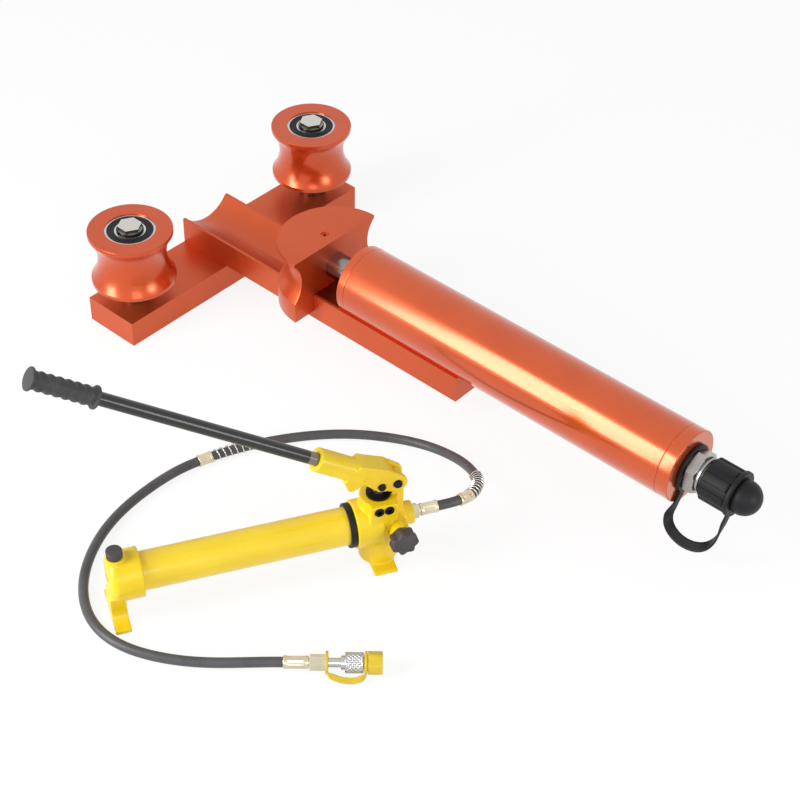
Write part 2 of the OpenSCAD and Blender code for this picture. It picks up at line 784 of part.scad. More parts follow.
// Cylinder
module cylinder_tube() {
    color(orange) difference() {
        at_axis() ring_x(bore_r, tube_r, tube_x, rear_x);
        tube_screw_places() cylinder(d = tube_screw_d + 2 * fit, h = beam_floor + tube_screw_grip + run);
    }
}
module front_gland() {
    color(orange) at_axis() difference() {
        union() {
            bar_x(tube_r, gland_x, tube_x);
            bar_x(bore_r - fit, tube_x - over, gland_end_x);
        }
        bar_x(rod_r + run, gland_x - over, gland_end_x + over);
        ring_x(rod_r, rod_r + seal_deep, gland_end_x - 2 * seal_w, gland_end_x - seal_w);
    }
}
module rear_cap() {
    color(orange) at_axis() difference() {
        union() {
            bar_x(tube_r, rear_x, end_x);
            bar_x(bore_r - fit, rear_x - cap_spigot, rear_x + over);
        }
        bar_x(nipple_thread_r + fit, rear_x, end_x + over);
        bar_x(nipple_bore_r, rear_x - cap_spigot - over, end_x);
    }
}

// Coupler on the cylinder, with its dust cap and strap
module male_coupler() {
    color(bright) at_axis() difference() {
        union() {
            bar_x(nipple_thread_r, rear_x + run, end_x + over);
            bar_x(nipple_neck_r, end_x, hex_x + over);
            hex_x_bar(nipple_af, hex_x, collar_x);
            bar_x(nipple_collar_d / 2, collar_x, tip_root_x);
            bar_x(dust_neck_r, tip_root_x - over, tip_root_x + nipple_shank_len);
            bar_x(nipple_tip_d / 2, tip_root_x, tip_root_x + nipple_shank_len + nipple_tip_len);
        }
        bar_x(nipple_bore_r, rear_x, tip_root_x + nipple_shank_len + nipple_tip_len + over);
    }
}
module dust_cap() {
    skirt_r = dust_d / 2 - dust_rib_h;
    inside_end = tip_root_x + nipple_shank_len + clear;
    tip_end = tip_root_x + nipple_shank_len + nipple_tip_len + clear;
    color(black) at_axis() difference() {
        union() {
            bar_x(skirt_r, dust_x, dust_skirt_end);
            for (i = [0 : dust_ribs - 1]) rotate([360 * i / dust_ribs, 0, 0])
                translate([dust_x, -dust_rib_w / 2, 0]) cube([dust_skirt, dust_rib_w, dust_d / 2]);
            bar_x(dust_neck_r, dust_skirt_end - over, dust_dome_x + over);
            bar_x(dust_dome_d / 2, dust_dome_x, dust_dome_x + dust_dome_len);
            translate([dust_dome_x + dust_dome_len, 0, 0]) rotate([0, 90, 0]) intersection() {
                sphere(d = dust_dome_d);
                cylinder(d = dust_dome_d, h = dust_dome_d);
            }
        }
        bar_x(dust_neck_r + clear, dust_x - over, inside_end);
        bar_x(nipple_tip_d / 2 + clear, dust_x, tip_end);
    }
}
module cap_strap() {
    drop = smooth_line([for (s = strap_shares)
        [strap_near_x + s[0] * (strap_far_x - strap_near_x), s[1] * strap_drop]], 2);
    color(black) at_axis() {
        ring_x(nipple_neck_r + clear, strap_ring_r, end_x + fit, end_x + strap_ring_t);
        ring_x(dust_neck_r + clear, strap_far_r, strap_far_x - strap_far_t / 2,
            strap_far_x + strap_far_t / 2);
        rotate([-strap_tilt, 0, 0]) flat_band(drop, strap_w, strap_t);
    }
}

// Tank of the hand pump
module foot(u, width) {
    translate([u - width / 2, 0, 0]) rotate([90, 0, 90]) linear_extrude(width) {
        translate([-foot_len / 2, 0]) square([foot_len, foot_t]);
        for (side = [0, 1]) mirror([side, 0]) difference() {
            square([pedestal_v / 2 + foot_round, foot_t + foot_round]);
            translate([pedestal_v / 2 + foot_round, foot_t + foot_round]) circle(r = foot_round, $fn = 64);
        }
        translate([-pedestal_v / 2, 0]) square([pedestal_v, tank_z - tank_r]);
    }
}
module tank_tube() {
    color(yellow) pump_at() translate([0, 0, tank_z]) ring_x(tank_r - tank_wall, tank_r, tank_u, tank_end);
}
module rear_bracket() {
    color(yellow) pump_at() difference() {
        union() {
            translate([bracket_back, 0, tank_z]) rotate([0, 90, 0]) rotate_extrude() {
                translate([0, bracket_round]) square([shell_r, bracket_len - bracket_round]);
                square([shell_r - bracket_round, bracket_round + over]);
                intersection() {
                    translate([shell_r - bracket_round, bracket_round]) circle(r = bracket_round, $fn = 64);
                    square([shell_r, bracket_round + over]);
                }
            }
            foot(0, rear_foot_w);
            translate([filler_u, 0, tank_z]) cylinder(r = filler_boss_r, h = shell_r + filler_boss_h);
        }
        translate([0, 0, tank_z]) bar_x(tank_r + fit, tank_u, bracket_end + over);
        translate([0, 0, tank_z]) bar_x(tank_r - tank_wall, bracket_back + bracket_wall, bracket_end);
        translate([0, 0, tank_z]) bar_x(tie_d / 2 + fit, bracket_back - over, bracket_end);
        translate([filler_u, 0, tank_z])
            cylinder(d = filler_stem_d + 2 * run, h = shell_r + filler_boss_h + over);
    }
}
module filler_cap() {
    steps = filler_teeth * 2;
    color(black) pump_at() translate([filler_u, 0, filler_z + clear]) {
        linear_extrude(filler_h) polygon([for (i = [0 : steps - 1])
            (filler_d / 2 - (i % 2) * filler_tooth) * [cos(360 * i / steps), sin(360 * i / steps)]]);
        translate([0, 0, -filler_stem_len]) cylinder(d = filler_stem_d, h = filler_stem_len + over);
    }
}
module tank_seal_ring() {
    color(black) pump_at() translate([0, 0, tank_z])
        ring_x(tank_r + fit, tank_r + ring_wall, ring_u, ring_u + ring_t);
}
module tie_rod() {
    color(steel) pump_at() translate([0, 0, tank_z])
        bar_x(tie_d / 2, bracket_back, collar_u + tank_seat + tie_thread);
}

// Pump block and what it holds
module plug_places() {
    for (s = [-1, 1]) pump_at() translate([column_u + s * plug_pitch / 2, -pad_v, plug_z]) children();
}
module pump_block() {
    color(yellow) pump_at() difference() {
        union() {
            translate([0, 0, tank_z]) bar_x(shell_r, collar_u, column_u);
            translate([column_u, 0, foot_t]) cylinder(r = column_r, h = column_top - foot_t);
            foot(column_u, front_foot_w);
            translate([column_u - pad_u / 2, -pad_v, column_top - pad_h]) cube([pad_u, pad_v, pad_h]);
            translate([0, 0, outlet_z]) bar_x(outlet_r, column_u, outlet_end);
            translate([knob_u, 0, knob_z]) bar_v(knob_boss_r, knob_boss_v, 0);
            translate([pivot_u, 0, pin_z]) bar_v(ear_r, -ear_t / 2, ear_t / 2);
            translate([pivot_u - ear_r, -ear_t / 2, outlet_z]) cube([2 * ear_r, ear_t, pin_z - outlet_z]);
        }
        translate([0, 0, tank_z]) bar_x(tank_r + fit, collar_u - over, tank_end + run);
        translate([0, 0, tank_z]) bar_x(tie_d / 2 + fit, tank_end, tank_end + tie_thread + run);
        translate([column_u, 0, plunger_bottom - plunger_fall])
            cylinder(r = plunger_r + run, h = column_top);
        translate([column_u, 0, column_top - gland_thread_len - run])
            cylinder(r = gland_thread_r + fit, h = gland_thread_len + over + run);
        translate([column_u, 0, column_top]) cylinder(r = gland_r + clear, h = gland_h + clear);
        translate([pivot_u, 0, pin_z]) bar_v(pivot_r + fit, -ear_t, ear_t);
        translate([0, 0, outlet_z])
            bar_x(outlet_thread_r + fit, outlet_end - outlet_thread_len - run, outlet_end + over);
        translate([0, 0, outlet_z]) bar_x(port_r, column_u, outlet_end);
        translate([knob_u, 0, knob_z]) bar_v(spindle_r + run, knob_boss_v - over, spindle_tip_v + over);
        for (s = [-1, 1]) translate([column_u + s * plug_pitch / 2, 0, plug_z])
            bar_v(plug_d / 2 + fit, -pad_v - over, plug_len_in - plug_proud + check_ball_d + run - pad_v);
    }
}
module plunger() {
    tall = pin_z + eye_top - plunger_bottom;
    color(bright) pump_at() translate([column_u, 0, 0]) difference() {
        union() {
            translate([0, 0, plunger_bottom]) cylinder(r = plunger_r, h = pin_z - eye_drop - plunger_bottom);
            intersection() {
                translate([-plunger_r, -ear_t / 2, plunger_bottom]) cube([plunger_d, ear_t, tall]);
                translate([0, 0, plunger_bottom]) cylinder(r = plunger_r, h = tall);
            }
        }
        translate([0, 0, pin_z]) bar_v(wrist_r + eye_slot, -plunger_d, plunger_d);
        translate([eye_run, 0, pin_z]) bar_v(wrist_r + eye_slot, -plunger_d, plunger_d);
        translate([0, -plunger_d, pin_z - wrist_r - eye_slot])
            cube([eye_run, 2 * plunger_d, 2 * (wrist_r + eye_slot)]);
    }
}
module plunger_gland() {
    color(black) pump_at() translate([column_u, 0, 0]) difference() {
        union() {
            translate([0, 0, column_top]) cylinder(r = gland_r, h = gland_h);
            translate([0, 0, column_top - gland_thread_len])
                cylinder(r = gland_thread_r, h = gland_thread_len + over);
        }
        translate([0, 0, column_top - gland_thread_len - over])
            cylinder(r = plunger_r + run, h = gland_thread_len + gland_h + 2 * over);
    }
}
module valve_plugs() {
    color(black) plug_places() difference() {
        bar_v(plug_d / 2, -plug_proud, plug_len_in - plug_proud);
        rotate([90, 0, 0]) translate([0, 0, plug_proud - plug_len_in * socket_deep_share])
            cylinder(d = plug_d * socket_share, h = plug_len_in, $fn = 6);
    }
}
module check_balls() {
    color(bright) plug_places() translate([0, plug_len_in - plug_proud + check_ball_d / 2, 0])
        sphere(d = check_ball_d, $fn = 32);
}
module release_spindle() {
    color(steel) pump_at() translate([knob_u, 0, knob_z])
        bar_v(spindle_r, knob_boss_v - knob_gap - knob_sink, spindle_tip_v);
}
// A star knob: the radius waves round the rim, and both edges are rounded
module release_knob() {
    steps = knob_lobes * 12;
    wave = knob_d / 2 * knob_wave_share;
    at_boss = [knob_u, knob_boss_v - knob_gap, knob_z];
    color(black) pump_at() translate(at_boss) rotate([90, 0, 0]) difference() {
        intersection() {
            linear_extrude(knob_t) polygon([for (i = [0 : steps - 1]) let (a = 360 * i / steps)
                (knob_d / 2 - wave + wave * cos(knob_lobes * a)) * [cos(a), sin(a)]]);
            rotate_extrude() {
                square([knob_d / 2, knob_t - knob_round]);
                square([knob_d / 2 - knob_round, knob_t]);
                translate([knob_d / 2 - knob_round, knob_t - knob_round]) circle(r = knob_round, $fn = 48);
            }
        }
        translate([0, 0, -over]) cylinder(r = spindle_r + fit, h = knob_sink + over);
    }
}
module pivot_pin() {
    half = fork_w / 2 + pin_over;
    color(black) pump_at() translate([pivot_u, 0, pin_z]) bar_v(pivot_r, -half, half);
}
module plunger_pin() {
    half = fork_w / 2 + pin_over;
    color(black) lever_at() translate([wrist_x, 0, wrist_z]) bar_v(wrist_r, -half, half);
}

// Lever, drawn along -X from its pivot and turned up by lever_angle
module cheek_outline() {
    circle(r = cheek_r);
    translate([wrist_x, wrist_z]) circle(r = wrist_boss_r);
    polygon([[0, cheek_r], [-crown_u, crown_lift], [-socket_root, socket_r - socket_drop],
        [-tooth_back, -socket_r - socket_drop], [-tooth_u - tooth_w / 2, -tooth_drop + tooth_w / 3],
        [-tooth_u - tooth_w / 4, -tooth_drop], [-tooth_u + tooth_w / 4, -tooth_drop],
        [-tooth_u + tooth_w / 2, -tooth_drop + tooth_w / 3], [-notch_u, -notch_drop],
        [wrist_x, wrist_z - wrist_boss_r], [0, -cheek_r]]);
}
module lever_head() {
    color(yellow) lever_at() difference() {
        union() {
            for (side = [-1, 1]) translate([0, side * (fork_gap + cheek_t) / 2 + cheek_t / 2, 0])
                rotate([90, 0, 0]) linear_extrude(cheek_t) cheek_outline();
            translate([0, fork_w / 2, 0]) rotate([90, 0, 0]) linear_extrude(fork_w) intersection() {
                cheek_outline();
                union() {
                    translate([-lever_head_len, -tooth_drop])
                        square([lever_head_len - solid_u, 2 * lever_head_len]);
                    translate([-socket_root, web_lift]) square([socket_root - web_start, lever_head_len]);
                }
            }
            translate([0, 0, -socket_drop]) bar_x(socket_r, -lever_head_len, -socket_root + socket_r);
        }
        translate([0, 0, -socket_drop])
            bar_x(lever_r + fit, -lever_head_len - over, -lever_head_len + tube_in_socket);
        bar_v(pivot_r + run, -fork_w, fork_w);
        translate([wrist_x, 0, wrist_z]) bar_v(wrist_r + fit, -fork_w, fork_w);
    }
}
module lever_tube() {
    color(black) lever_at() translate([0, 0, -socket_drop])
        ring_x(lever_r - lever_wall, lever_r, -lever_len + grip_flange_t,
            -lever_head_len + tube_in_socket - run);
}
module lever_grip() {
    pitch = (grip_len - 2 * grip_flange_t) / grip_bumps;
    color(black) lever_at() translate([-lever_len, 0, -socket_drop]) rotate([0, 90, 0]) difference() {
        rotate_extrude() {
            square([grip_d / 2, grip_len]);
            for (z = [0, grip_len - grip_flange_t])
                translate([0, z]) square([grip_flange_d / 2, grip_flange_t]);
            for (i = [0 : grip_bumps - 1])
                translate([grip_d / 2 - grip_bump_h, grip_flange_t + (2 * i + 1) * pitch / 2])
                    circle(r = 2 * grip_bump_h, $fn = 24);
        }
        translate([0, 0, grip_flange_t - fit]) cylinder(r = lever_r + fit, h = grip_len);
    }
}

// Hose and its fittings
module hose_adapter() {
    color(zinc) pump_at() translate([0, 0, outlet_z]) difference() {
        union() {
            bar_x(outlet_thread_r, outlet_end - outlet_thread_len, outlet_end + over);
            hex_x_bar(adapter_hex_af, outlet_end + fit, outlet_end + adapter_hex_len);
            bar_x(outlet_thread_r, outlet_end + adapter_hex_len - over, ferrule_u);
        }
        bar_x(port_r, outlet_end - outlet_thread_len - over, ferrule_u + over);
    }
}
module pump_end_ferrule() {
    color(zinc) pump_at() translate([0, 0, outlet_z]) ring_x(port_r, ferrule_r, ferrule_u, hose_start_u);
}
module hose() { color(black) tube_along(smooth_line(route, hose_steps), hose_r, hose_sides); }
// A short tube round the hose, ending where a guard spring starts or ends
module ferrule_on_hose(start) {
    p = hose_piece(start, guard_ferrule_len, 2);
    d = unit(p[2] - p[0]);
    translate(p[0]) rotate([0, acos(d[2]), atan2(d[1], d[0])])
        ring(hose_r + fit, ferrule_r, norm(p[2] - p[0]));
}
module guard_ferrules() {
    color(zinc) {
        ferrule_on_hose(guard_start - guard_gap - guard_ferrule_len);
        ferrule_on_hose(far_guard_start + far_guard_len + guard_gap);
    }
}
module guard_spring() { color(steel) tube_along(guard_helix, guard_wire / 2, wire_sides); }
module far_guard_spring() { color(steel) tube_along(far_guard_helix, guard_wire / 2, wire_sides); }
module coupler_end_ferrule() { color(zinc) coupler_at() ring_x(port_r, ferrule_r, 0, end_ferrule_len); }
module hose_end_hex() {
    color(zinc) coupler_at() difference() {
        union() {
            bar_x(neck_d / 2, end_ferrule_len, neck_x);
            hex_x_bar(hose_hex_af, end_hex_x, tether_ring_x);
        }
        bar_x(port_r, end_ferrule_len - over, neck_x + over);
    }
}
module coupler_body() {
    color(bright) coupler_at() difference() {
        union() {
            bar_x(neck_d / 2, neck_x, sleeve_x + over);
            bar_x(body_r, sleeve_x - sleeve_travel, sleeve_x + body_len);
            bar_x(body_flange_r, sleeve_x, sleeve_x + body_flange_t);
        }
        bar_x(port_r, neck_x - over, sleeve_x + sleeve_len);
        bar_x(socket_bore_r, sleeve_x + body_len - socket_bore_len, sleeve_x + sleeve_len + over);
    }
}
module coupler_sleeve() {
    color(bright) coupler_at() difference() {
        bar_x(sleeve_d / 2, sleeve_x, sleeve_x + sleeve_len);
        bar_x(body_r + sleeve_wall_gap, sleeve_x - over, sleeve_x + sleeve_len + over);
        bar_x(sleeve_d / 2 - sleeve_shoulder / 2, sleeve_x - over, sleeve_x + sleeve_len - sleeve_shoulder);
        for (i = [1 : sleeve_rings]) translate([sleeve_x + sleeve_len * i / (sleeve_rings + 1), 0, 0])
            ring_x(sleeve_d / 2 - sleeve_ring_deep, sleeve_d, -sleeve_ring_w / 2, sleeve_ring_w / 2);
    }
}
coupler_helix = helix_about(line_between([sleeve_x + body_flange_t + coupler_wire, 0, 0],
    [sleeve_x + sleeve_len - sleeve_shoulder - coupler_wire, 0, 0], coupler_turns * turn_rings),
    body_r + coupler_wire_gap + coupler_wire / 2, coupler_turns);
module coupler_spring() { color(steel) coupler_at() tube_along(coupler_helix, coupler_wire / 2, wire_sides); }
module coupler_plug_cap() {
    color(yellow) coupler_at() {
        bar_x(plug_pin_r, plug_x - plug_pin_len, plug_x + over);
        bar_x(plug_collar_r, plug_x, plug_x + plug_collar_len + over);
        hex_x_bar(plug_af, plug_x + plug_collar_len, plug_x + plug_len);
    }
}
module coupler_tether() {
    start_x = tether_ring_x + tether_ring_t / 2;
    loop = smooth_line([for (s = tether_shares) [start_x + s[0] * tether_reach, s[1] * tether_ring_r]], 2);
    color(yellow) coupler_at() {
        ring_x(neck_d / 2 + run, tether_ring_r, tether_ring_x + fit, tether_ring_x + tether_ring_t - fit);
        ring_x(plug_collar_r + clear, tether_ring_r, plug_x + clear, plug_x + plug_collar_len - clear);
        rotate([-tether_tilt, 0, 0]) flat_band(loop, tether_w, tether_t);
    }
}

module left_roller() { roller(-1); }
module right_roller() { roller(1); }
module left_outer_rings() { outer_rings(-1); }
module right_outer_rings() { outer_rings(1); }
module left_bearing_balls() { bearing_balls(-1); }
module right_bearing_balls() { bearing_balls(1); }
module left_bearing_seals() { bearing_seals(-1); }
module right_bearing_seals() { bearing_seals(1); }

cross_bar();
base_beam();
beam_screws();
left_roller();
right_roller();
left_outer_rings();
right_outer_rings();
bearing_inner_rings();
left_bearing_balls();
right_bearing_balls();
left_bearing_seals();
right_bearing_seals();
roller_pins();
roller_spacers();
pin_circlips();
bending_shoe();
shoe_set_screw();
ram_rod();
piston();
piston_seal();
rod_seal();
return_spring();
cylinder_tube();
front_gland();
rear_cap();
cylinder_screws();
male_coupler();
cap_strap();
dust_cap();
tank_tube();
rear_bracket();
filler_cap();
tank_seal_ring();
tie_rod();
pump_block();
plunger();
plunger_gland();
valve_plugs();
check_balls();
release_spindle();
release_knob();
pivot_pin();
plunger_pin();
lever_head();
lever_tube();
lever_grip();
hose_adapter();
pump_end_ferrule();
hose();
guard_ferrules();
guard_spring();
far_guard_spring();
coupler_end_ferrule();
hose_end_hex();
coupler_body();
coupler_sleeve();
coupler_spring();
coupler_plug_cap();
coupler_tether();
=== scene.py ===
import json
import math

import bmesh
import bpy
import numpy as np
from mathutils import Matrix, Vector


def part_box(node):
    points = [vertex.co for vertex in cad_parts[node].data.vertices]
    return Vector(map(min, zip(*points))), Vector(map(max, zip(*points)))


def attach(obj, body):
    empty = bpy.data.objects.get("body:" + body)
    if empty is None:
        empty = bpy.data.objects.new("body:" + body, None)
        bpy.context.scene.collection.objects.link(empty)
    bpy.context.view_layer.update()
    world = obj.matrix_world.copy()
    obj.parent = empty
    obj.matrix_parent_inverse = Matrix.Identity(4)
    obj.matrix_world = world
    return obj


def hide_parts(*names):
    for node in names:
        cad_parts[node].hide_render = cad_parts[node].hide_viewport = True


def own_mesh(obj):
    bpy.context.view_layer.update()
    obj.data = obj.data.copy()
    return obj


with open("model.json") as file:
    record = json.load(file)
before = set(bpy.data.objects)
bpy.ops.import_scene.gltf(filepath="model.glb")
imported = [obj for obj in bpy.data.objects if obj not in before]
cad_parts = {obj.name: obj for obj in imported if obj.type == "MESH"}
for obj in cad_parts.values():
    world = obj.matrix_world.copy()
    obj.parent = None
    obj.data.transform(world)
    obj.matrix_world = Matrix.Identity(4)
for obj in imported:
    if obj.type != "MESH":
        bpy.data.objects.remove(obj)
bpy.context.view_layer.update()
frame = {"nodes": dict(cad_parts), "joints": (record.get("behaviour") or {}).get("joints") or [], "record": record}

nodes = frame["nodes"]
joints = {joint["name"]: joint for joint in frame["joints"]}
record = frame["record"]
UP = np.array([0.0, 0.0, 1.0])
FULL_TURN = 2 * math.pi


# Camera, at the photograph's viewing angle. The image is 800 by 800 pixels.
CAMERA_PLACE = (1.40993, -1.28646, 1.43931)
CAMERA_AZIMUTH = 40.761
CAMERA_ELEVATION = 41.437
CAMERA_ROLL = 1.498
CAMERA_LENS = 81.93
CAMERA_SEES_TO = 50


def stand(thing, right, up, back, spot):
    """Links a camera or a lamp to the scene at a spot, with its three axes given."""
    thing.matrix_world = Matrix([[*row, at] for row, at in zip(np.stack([right, up, back]).T, spot)] + [[0, 0, 0, 1]])
    bpy.context.scene.collection.objects.link(thing)


def make_camera():
    """Looks along the azimuth and elevation, and is rolled about its own line of sight."""
    azimuth, elevation, roll = np.radians([CAMERA_AZIMUTH, CAMERA_ELEVATION, CAMERA_ROLL])
    back = np.array([math.sin(azimuth) * math.cos(elevation), -math.cos(azimuth) * math.cos(elevation),
                     math.sin(elevation)])
    level = np.array([math.cos(azimuth), math.sin(azimuth), 0])
    rise = np.cross(back, level)
    right = math.cos(roll) * level + math.sin(roll) * rise
    up = math.cos(roll) * rise - math.sin(roll) * level
    camera = bpy.data.objects.new("camera", bpy.data.cameras.new("camera"))
    camera.data.lens = CAMERA_LENS
    camera.data.clip_end = CAMERA_SEES_TO
    stand(camera, right, up, back, CAMERA_PLACE)
    bpy.context.scene.camera = camera


make_camera()


# Places: an origin with three axes, along, side and up
def place(origin, along, up):
    """Origin and the rows along, side, up, where side is up crossed with along."""
    along, up = np.array(along, float), np.array(up, float)
    return np.array(origin, float), np.stack([along, np.cross(up, along), up])


def joint_place(name, up):
    """A place at a joint, with along on the joint's axis."""
    return place(joints[name]["pos_m"], joints[name]["axis"], up)


def moved(spot, shift):
    """The same place, shifted by amounts along its own axes."""
    return spot[0] + np.array(shift, float) @ spot[1], spot[1]


LEVER_ANGLE = math.radians(33)
LEVER_DROP = 0.006
pump_side = np.array(joints["lever_swing"]["axis"], float)
pump_along = np.cross(pump_side, UP)
lever_along = UP * math.sin(LEVER_ANGLE) - pump_along * math.cos(LEVER_ANGLE)
lever_up = UP * math.cos(LEVER_ANGLE) + pump_along * math.sin(LEVER_ANGLE)
ram_line = place([0, 0, joints["dust_cap_turn"]["pos_m"][2]], [1, 0, 0], UP)
lever_line = moved(place(joints["lever_swing"]["pos_m"], lever_along, lever_up), [0, 0, -LEVER_DROP])
filler_line = joint_place("filler_cap_turn", pump_along)
knob_line = joint_place("release_turn", UP)
coupler_line = joint_place("plug_cap_turn", UP)


# Surfaces
SAME_POINT = 1e-7
NO_LENGTH = 1e-8
HAIR = 1e-9
LARGEST_ROUND = 2.05


def unit(vectors):
    """The vectors, row by row, at length 1."""
    return vectors / np.linalg.norm(vectors, axis=1)[:, None]


def finish_mesh(name, points, faces, sharp=35):
    """A mesh of the points and faces, its doubles merged, faces turned outwards and shaded smooth below an angle."""
    mesh = bpy.data.meshes.new(name)
    mesh.from_pydata(points.reshape(-1, 3).tolist(), [], faces.tolist())
    work = bmesh.new()
    work.from_mesh(mesh)
    bmesh.ops.remove_doubles(work, verts=work.verts, dist=SAME_POINT)
    bmesh.ops.dissolve_degenerate(work, edges=work.edges, dist=NO_LENGTH)
    bmesh.ops.recalc_face_normals(work, faces=work.faces)
    work.to_mesh(mesh)
    work.free()
    mesh.shade_smooth()
    mesh.set_sharp_from_angle(angle=math.radians(sharp))
    return mesh


def grid_faces(rows, columns, rows_close):
    """Quads over a grid whose columns close on themselves, and whose rows do too if rows_close."""
    index = np.arange(rows * columns).reshape(rows, columns)
    below = np.roll(index, -1, axis=0)
    quads = np.stack([index, np.roll(index, -1, axis=1), np.roll(below, -1, axis=1), below], axis=-1)
    return (quads if rows_close else quads[:-1]).reshape(-1, 4)


def add_piece(name, grids, body, finish, replaces=(), sharp=35):
    """One object from one or more grids of points, on its body, in its finish. A grid is (points, rows_close)."""
    points, faces, count = [], [], 0
    for grid, rows_close in grids:
        faces.append(grid_faces(*grid.shape[:2], rows_close) + count)
        points.append(grid.reshape(-1, 3))
        count += len(points[-1])
    mesh = finish_mesh(name, np.concatenate(points), np.concatenate(faces), sharp)
    return settle(bpy.data.objects.new(name, mesh), body, finish, replaces)


def settle(piece, body, finish, replaces=()):
    """Links a piece to the scene and says what it rides on, stands for and is finished in."""
    bpy.context.scene.collection.objects.link(piece)
    piece.data.materials.clear()
    piece.data.materials.append(finish)
    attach(piece, body)
    if replaces:
        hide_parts(*replaces)
    return piece


def crisp(piece):
    """Lets a piece's large faces, and not its small rounded edges, set how it is shaded."""
    piece.modifiers.new("crisp", "WEIGHTED_NORMAL").keep_sharp = True
    return piece


def straight(spot):
    """A line along a place: centre, side and up at each distance."""
    origin, axes = spot

    def line(distance):
        shape = (len(distance), 3)
        return origin + np.outer(distance, axes[0]), np.broadcast_to(axes[1], shape), np.broadcast_to(axes[2], shape)
    return line


def turned(line, outline, sides=96, shape=None, rows_close=False):
    """Points round a line: at each outline point (distance, radius) a ring of that radius, which shape may alter.

    shape(distance, radius, angle) gives the radius at every grid point. An outline that starts and ends at radius 0
    closes at two poles, and one whose rows close is a ring with its own bore.
    """
    distance, radius = np.array(outline, float).T
    centre, side, up = line(distance)
    angle = np.linspace(0, FULL_TURN, sides, endpoint=False)[None, :]
    reach = np.broadcast_to(radius[:, None], (len(radius), sides))
    if shape is not None:
        reach = shape(distance[:, None], radius[:, None], angle)
    reach = reach[..., None]
    ring = np.cos(angle)[..., None] * side[:, None] + np.sin(angle)[..., None] * up[:, None]
    return centre[:, None] + reach * ring, rows_close


def rounded(corners, steps=5, closes=False):
    """A line through corners (distance, radius, round): each corner is eased from round before it to round after it.

    The eased stretch is the parabola that leaves one side and joins the other without a kink. It takes up a little
    less than half of a side at most.
    """
    spots = np.array([corner[:2] for corner in corners], float)
    rounds = np.array([corner[2] if len(corner) > 2 else 0 for corner in corners], float)
    before, after = np.roll(spots, 1, axis=0) - spots, np.roll(spots, -1, axis=0) - spots
    if not closes:
        before[0] = after[-1] = 0
    t = np.linspace(0, 1, steps)[None, :, None]

    def towards(way):
        length = np.linalg.norm(way, axis=1)
        cut = np.minimum(rounds, length / LARGEST_ROUND)
        return (spots + way / np.maximum(length, HAIR)[:, None] * cut[:, None])[:, None]
    eased = (1 - t) ** 2 * towards(before) + 2 * t * (1 - t) * spots[:, None] + t ** 2 * towards(after)
    line = eased.reshape(-1, 2)
    keep = np.append(True, np.linalg.norm(np.diff(line, axis=0), axis=1) > SAME_POINT)
    return line[keep]


def finely(outline, step):
    """The same outline with points no further apart than step along its distance."""
    outline = np.array(outline, float)
    parts = [np.linspace(a, b, max(1, math.ceil(abs(b[0] - a[0]) / step)), endpoint=False)
             for a, b in zip(outline[:-1], outline[1:])]
    return np.concatenate(parts + [outline[-1:]])


def finely_closed(outline, step):
    """The same for an outline that closes on itself."""
    return finely(np.concatenate([outline, outline[:1]]), step)[:-1]


def swept(path, side, section, wide=1.0):
    """A section of (side, other) points carried along a path, square to it, with both ends closed by a pole.

    wide, a number or one to each path point, stretches the section's other direction.
    """
    tangent = unit(np.gradient(path, axis=0))
    side = unit(side - (side * tangent).sum(axis=1)[:, None] * tangent)
    other = np.cross(tangent, side) * np.broadcast_to(wide, len(path))[:, None]
    rings = path[:, None] + section[None, :, :1] * side[:, None] + section[None, :, 1:] * other[:, None]
    ends = np.broadcast_to(path[[0, -1], None], (2, len(section), 3))
    return np.concatenate([ends[:1], rings, ends[1:]]), False


def circle(radius, sides):
    """Points of a round section."""
    angle = np.linspace(0, FULL_TURN, sides, endpoint=False)
    return radius * np.stack([np.cos(angle), np.sin(angle)], axis=1)


def round_band(width, thick, sides=24, power=0.35):
    """A flat section with round edges: a superellipse of the width and thickness."""
    angle = np.linspace(0, FULL_TURN, sides, endpoint=False)
    return np.stack([np.sign(np.cos(angle)) * np.abs(np.cos(angle)) ** power * width / 2,
                     np.sign(np.sin(angle)) * np.abs(np.sin(angle)) ** power * thick / 2], axis=1)


def spline(points, steps):
    """A uniform cubic B-spline along the points, straight at its two ends, with steps to each stretch."""
    points = np.array(points, float)
    guide = np.concatenate([[2 * points[0] - points[1]], points, [2 * points[-1] - points[-2]]])
    share = np.arange((len(points) - 1) * steps + 1) / steps
    first = np.minimum(share.astype(int), len(points) - 2)
    t = (share - first)[:, None]
    s = 1 - t
    return (s ** 3 * guide[first] + (3 * t ** 3 - 6 * t ** 2 + 4) * guide[first + 1]
            + (3 * s ** 3 - 6 * s ** 2 + 4) * guide[first + 2] + t ** 3 * guide[first + 3]) / 6


def helix(line, start, length, radius, turns, rings=20):
    """A wire's path and its outward side: it goes round the line at a radius while it runs along it."""
    share = np.linspace(0, 1, turns * rings + 1)
    centre, side, up = line(start + share * length)
    angle = (share * turns * FULL_TURN)[:, None]
    out = np.cos(angle) * side + np.sin(angle) * up
    return centre + radius * out, out


def hexagon(angle, flats):
    """Radius of a hexagon of a width across flats, with a flat at angle 0."""
    sixth = FULL_TURN / 6
    return flats / 2 / np.cos((angle + sixth / 2) % sixth - sixth / 2)


# Finishes. Grain is in lumps per metre and relief in metres.
NOISE_LOW = 0.3
NOISE_HIGH = 0.7
# Where the painted top light starts and where it is full, as a face turns to look up
PAINTED_LIGHT_STARTS = 0.8
PAINTED_LIGHT_ENDS = 0.95
ANODISED_METAL = 0.62
ANODISED_GRAIN = 2600
ANODISED_CLOUD = 14
ANODISED_RELIEF = 0.000006
METAL_GRAIN = 1200
METAL_CLOUD = 60
METAL_SHADE = 0.82
FACE_RELIEF = 0.00002
PAINT_CLOUD = 22
PAINT_RELIEF = 0.00022
MOULD_CLOUD = 45
PAINT_EDGE = 0.0004


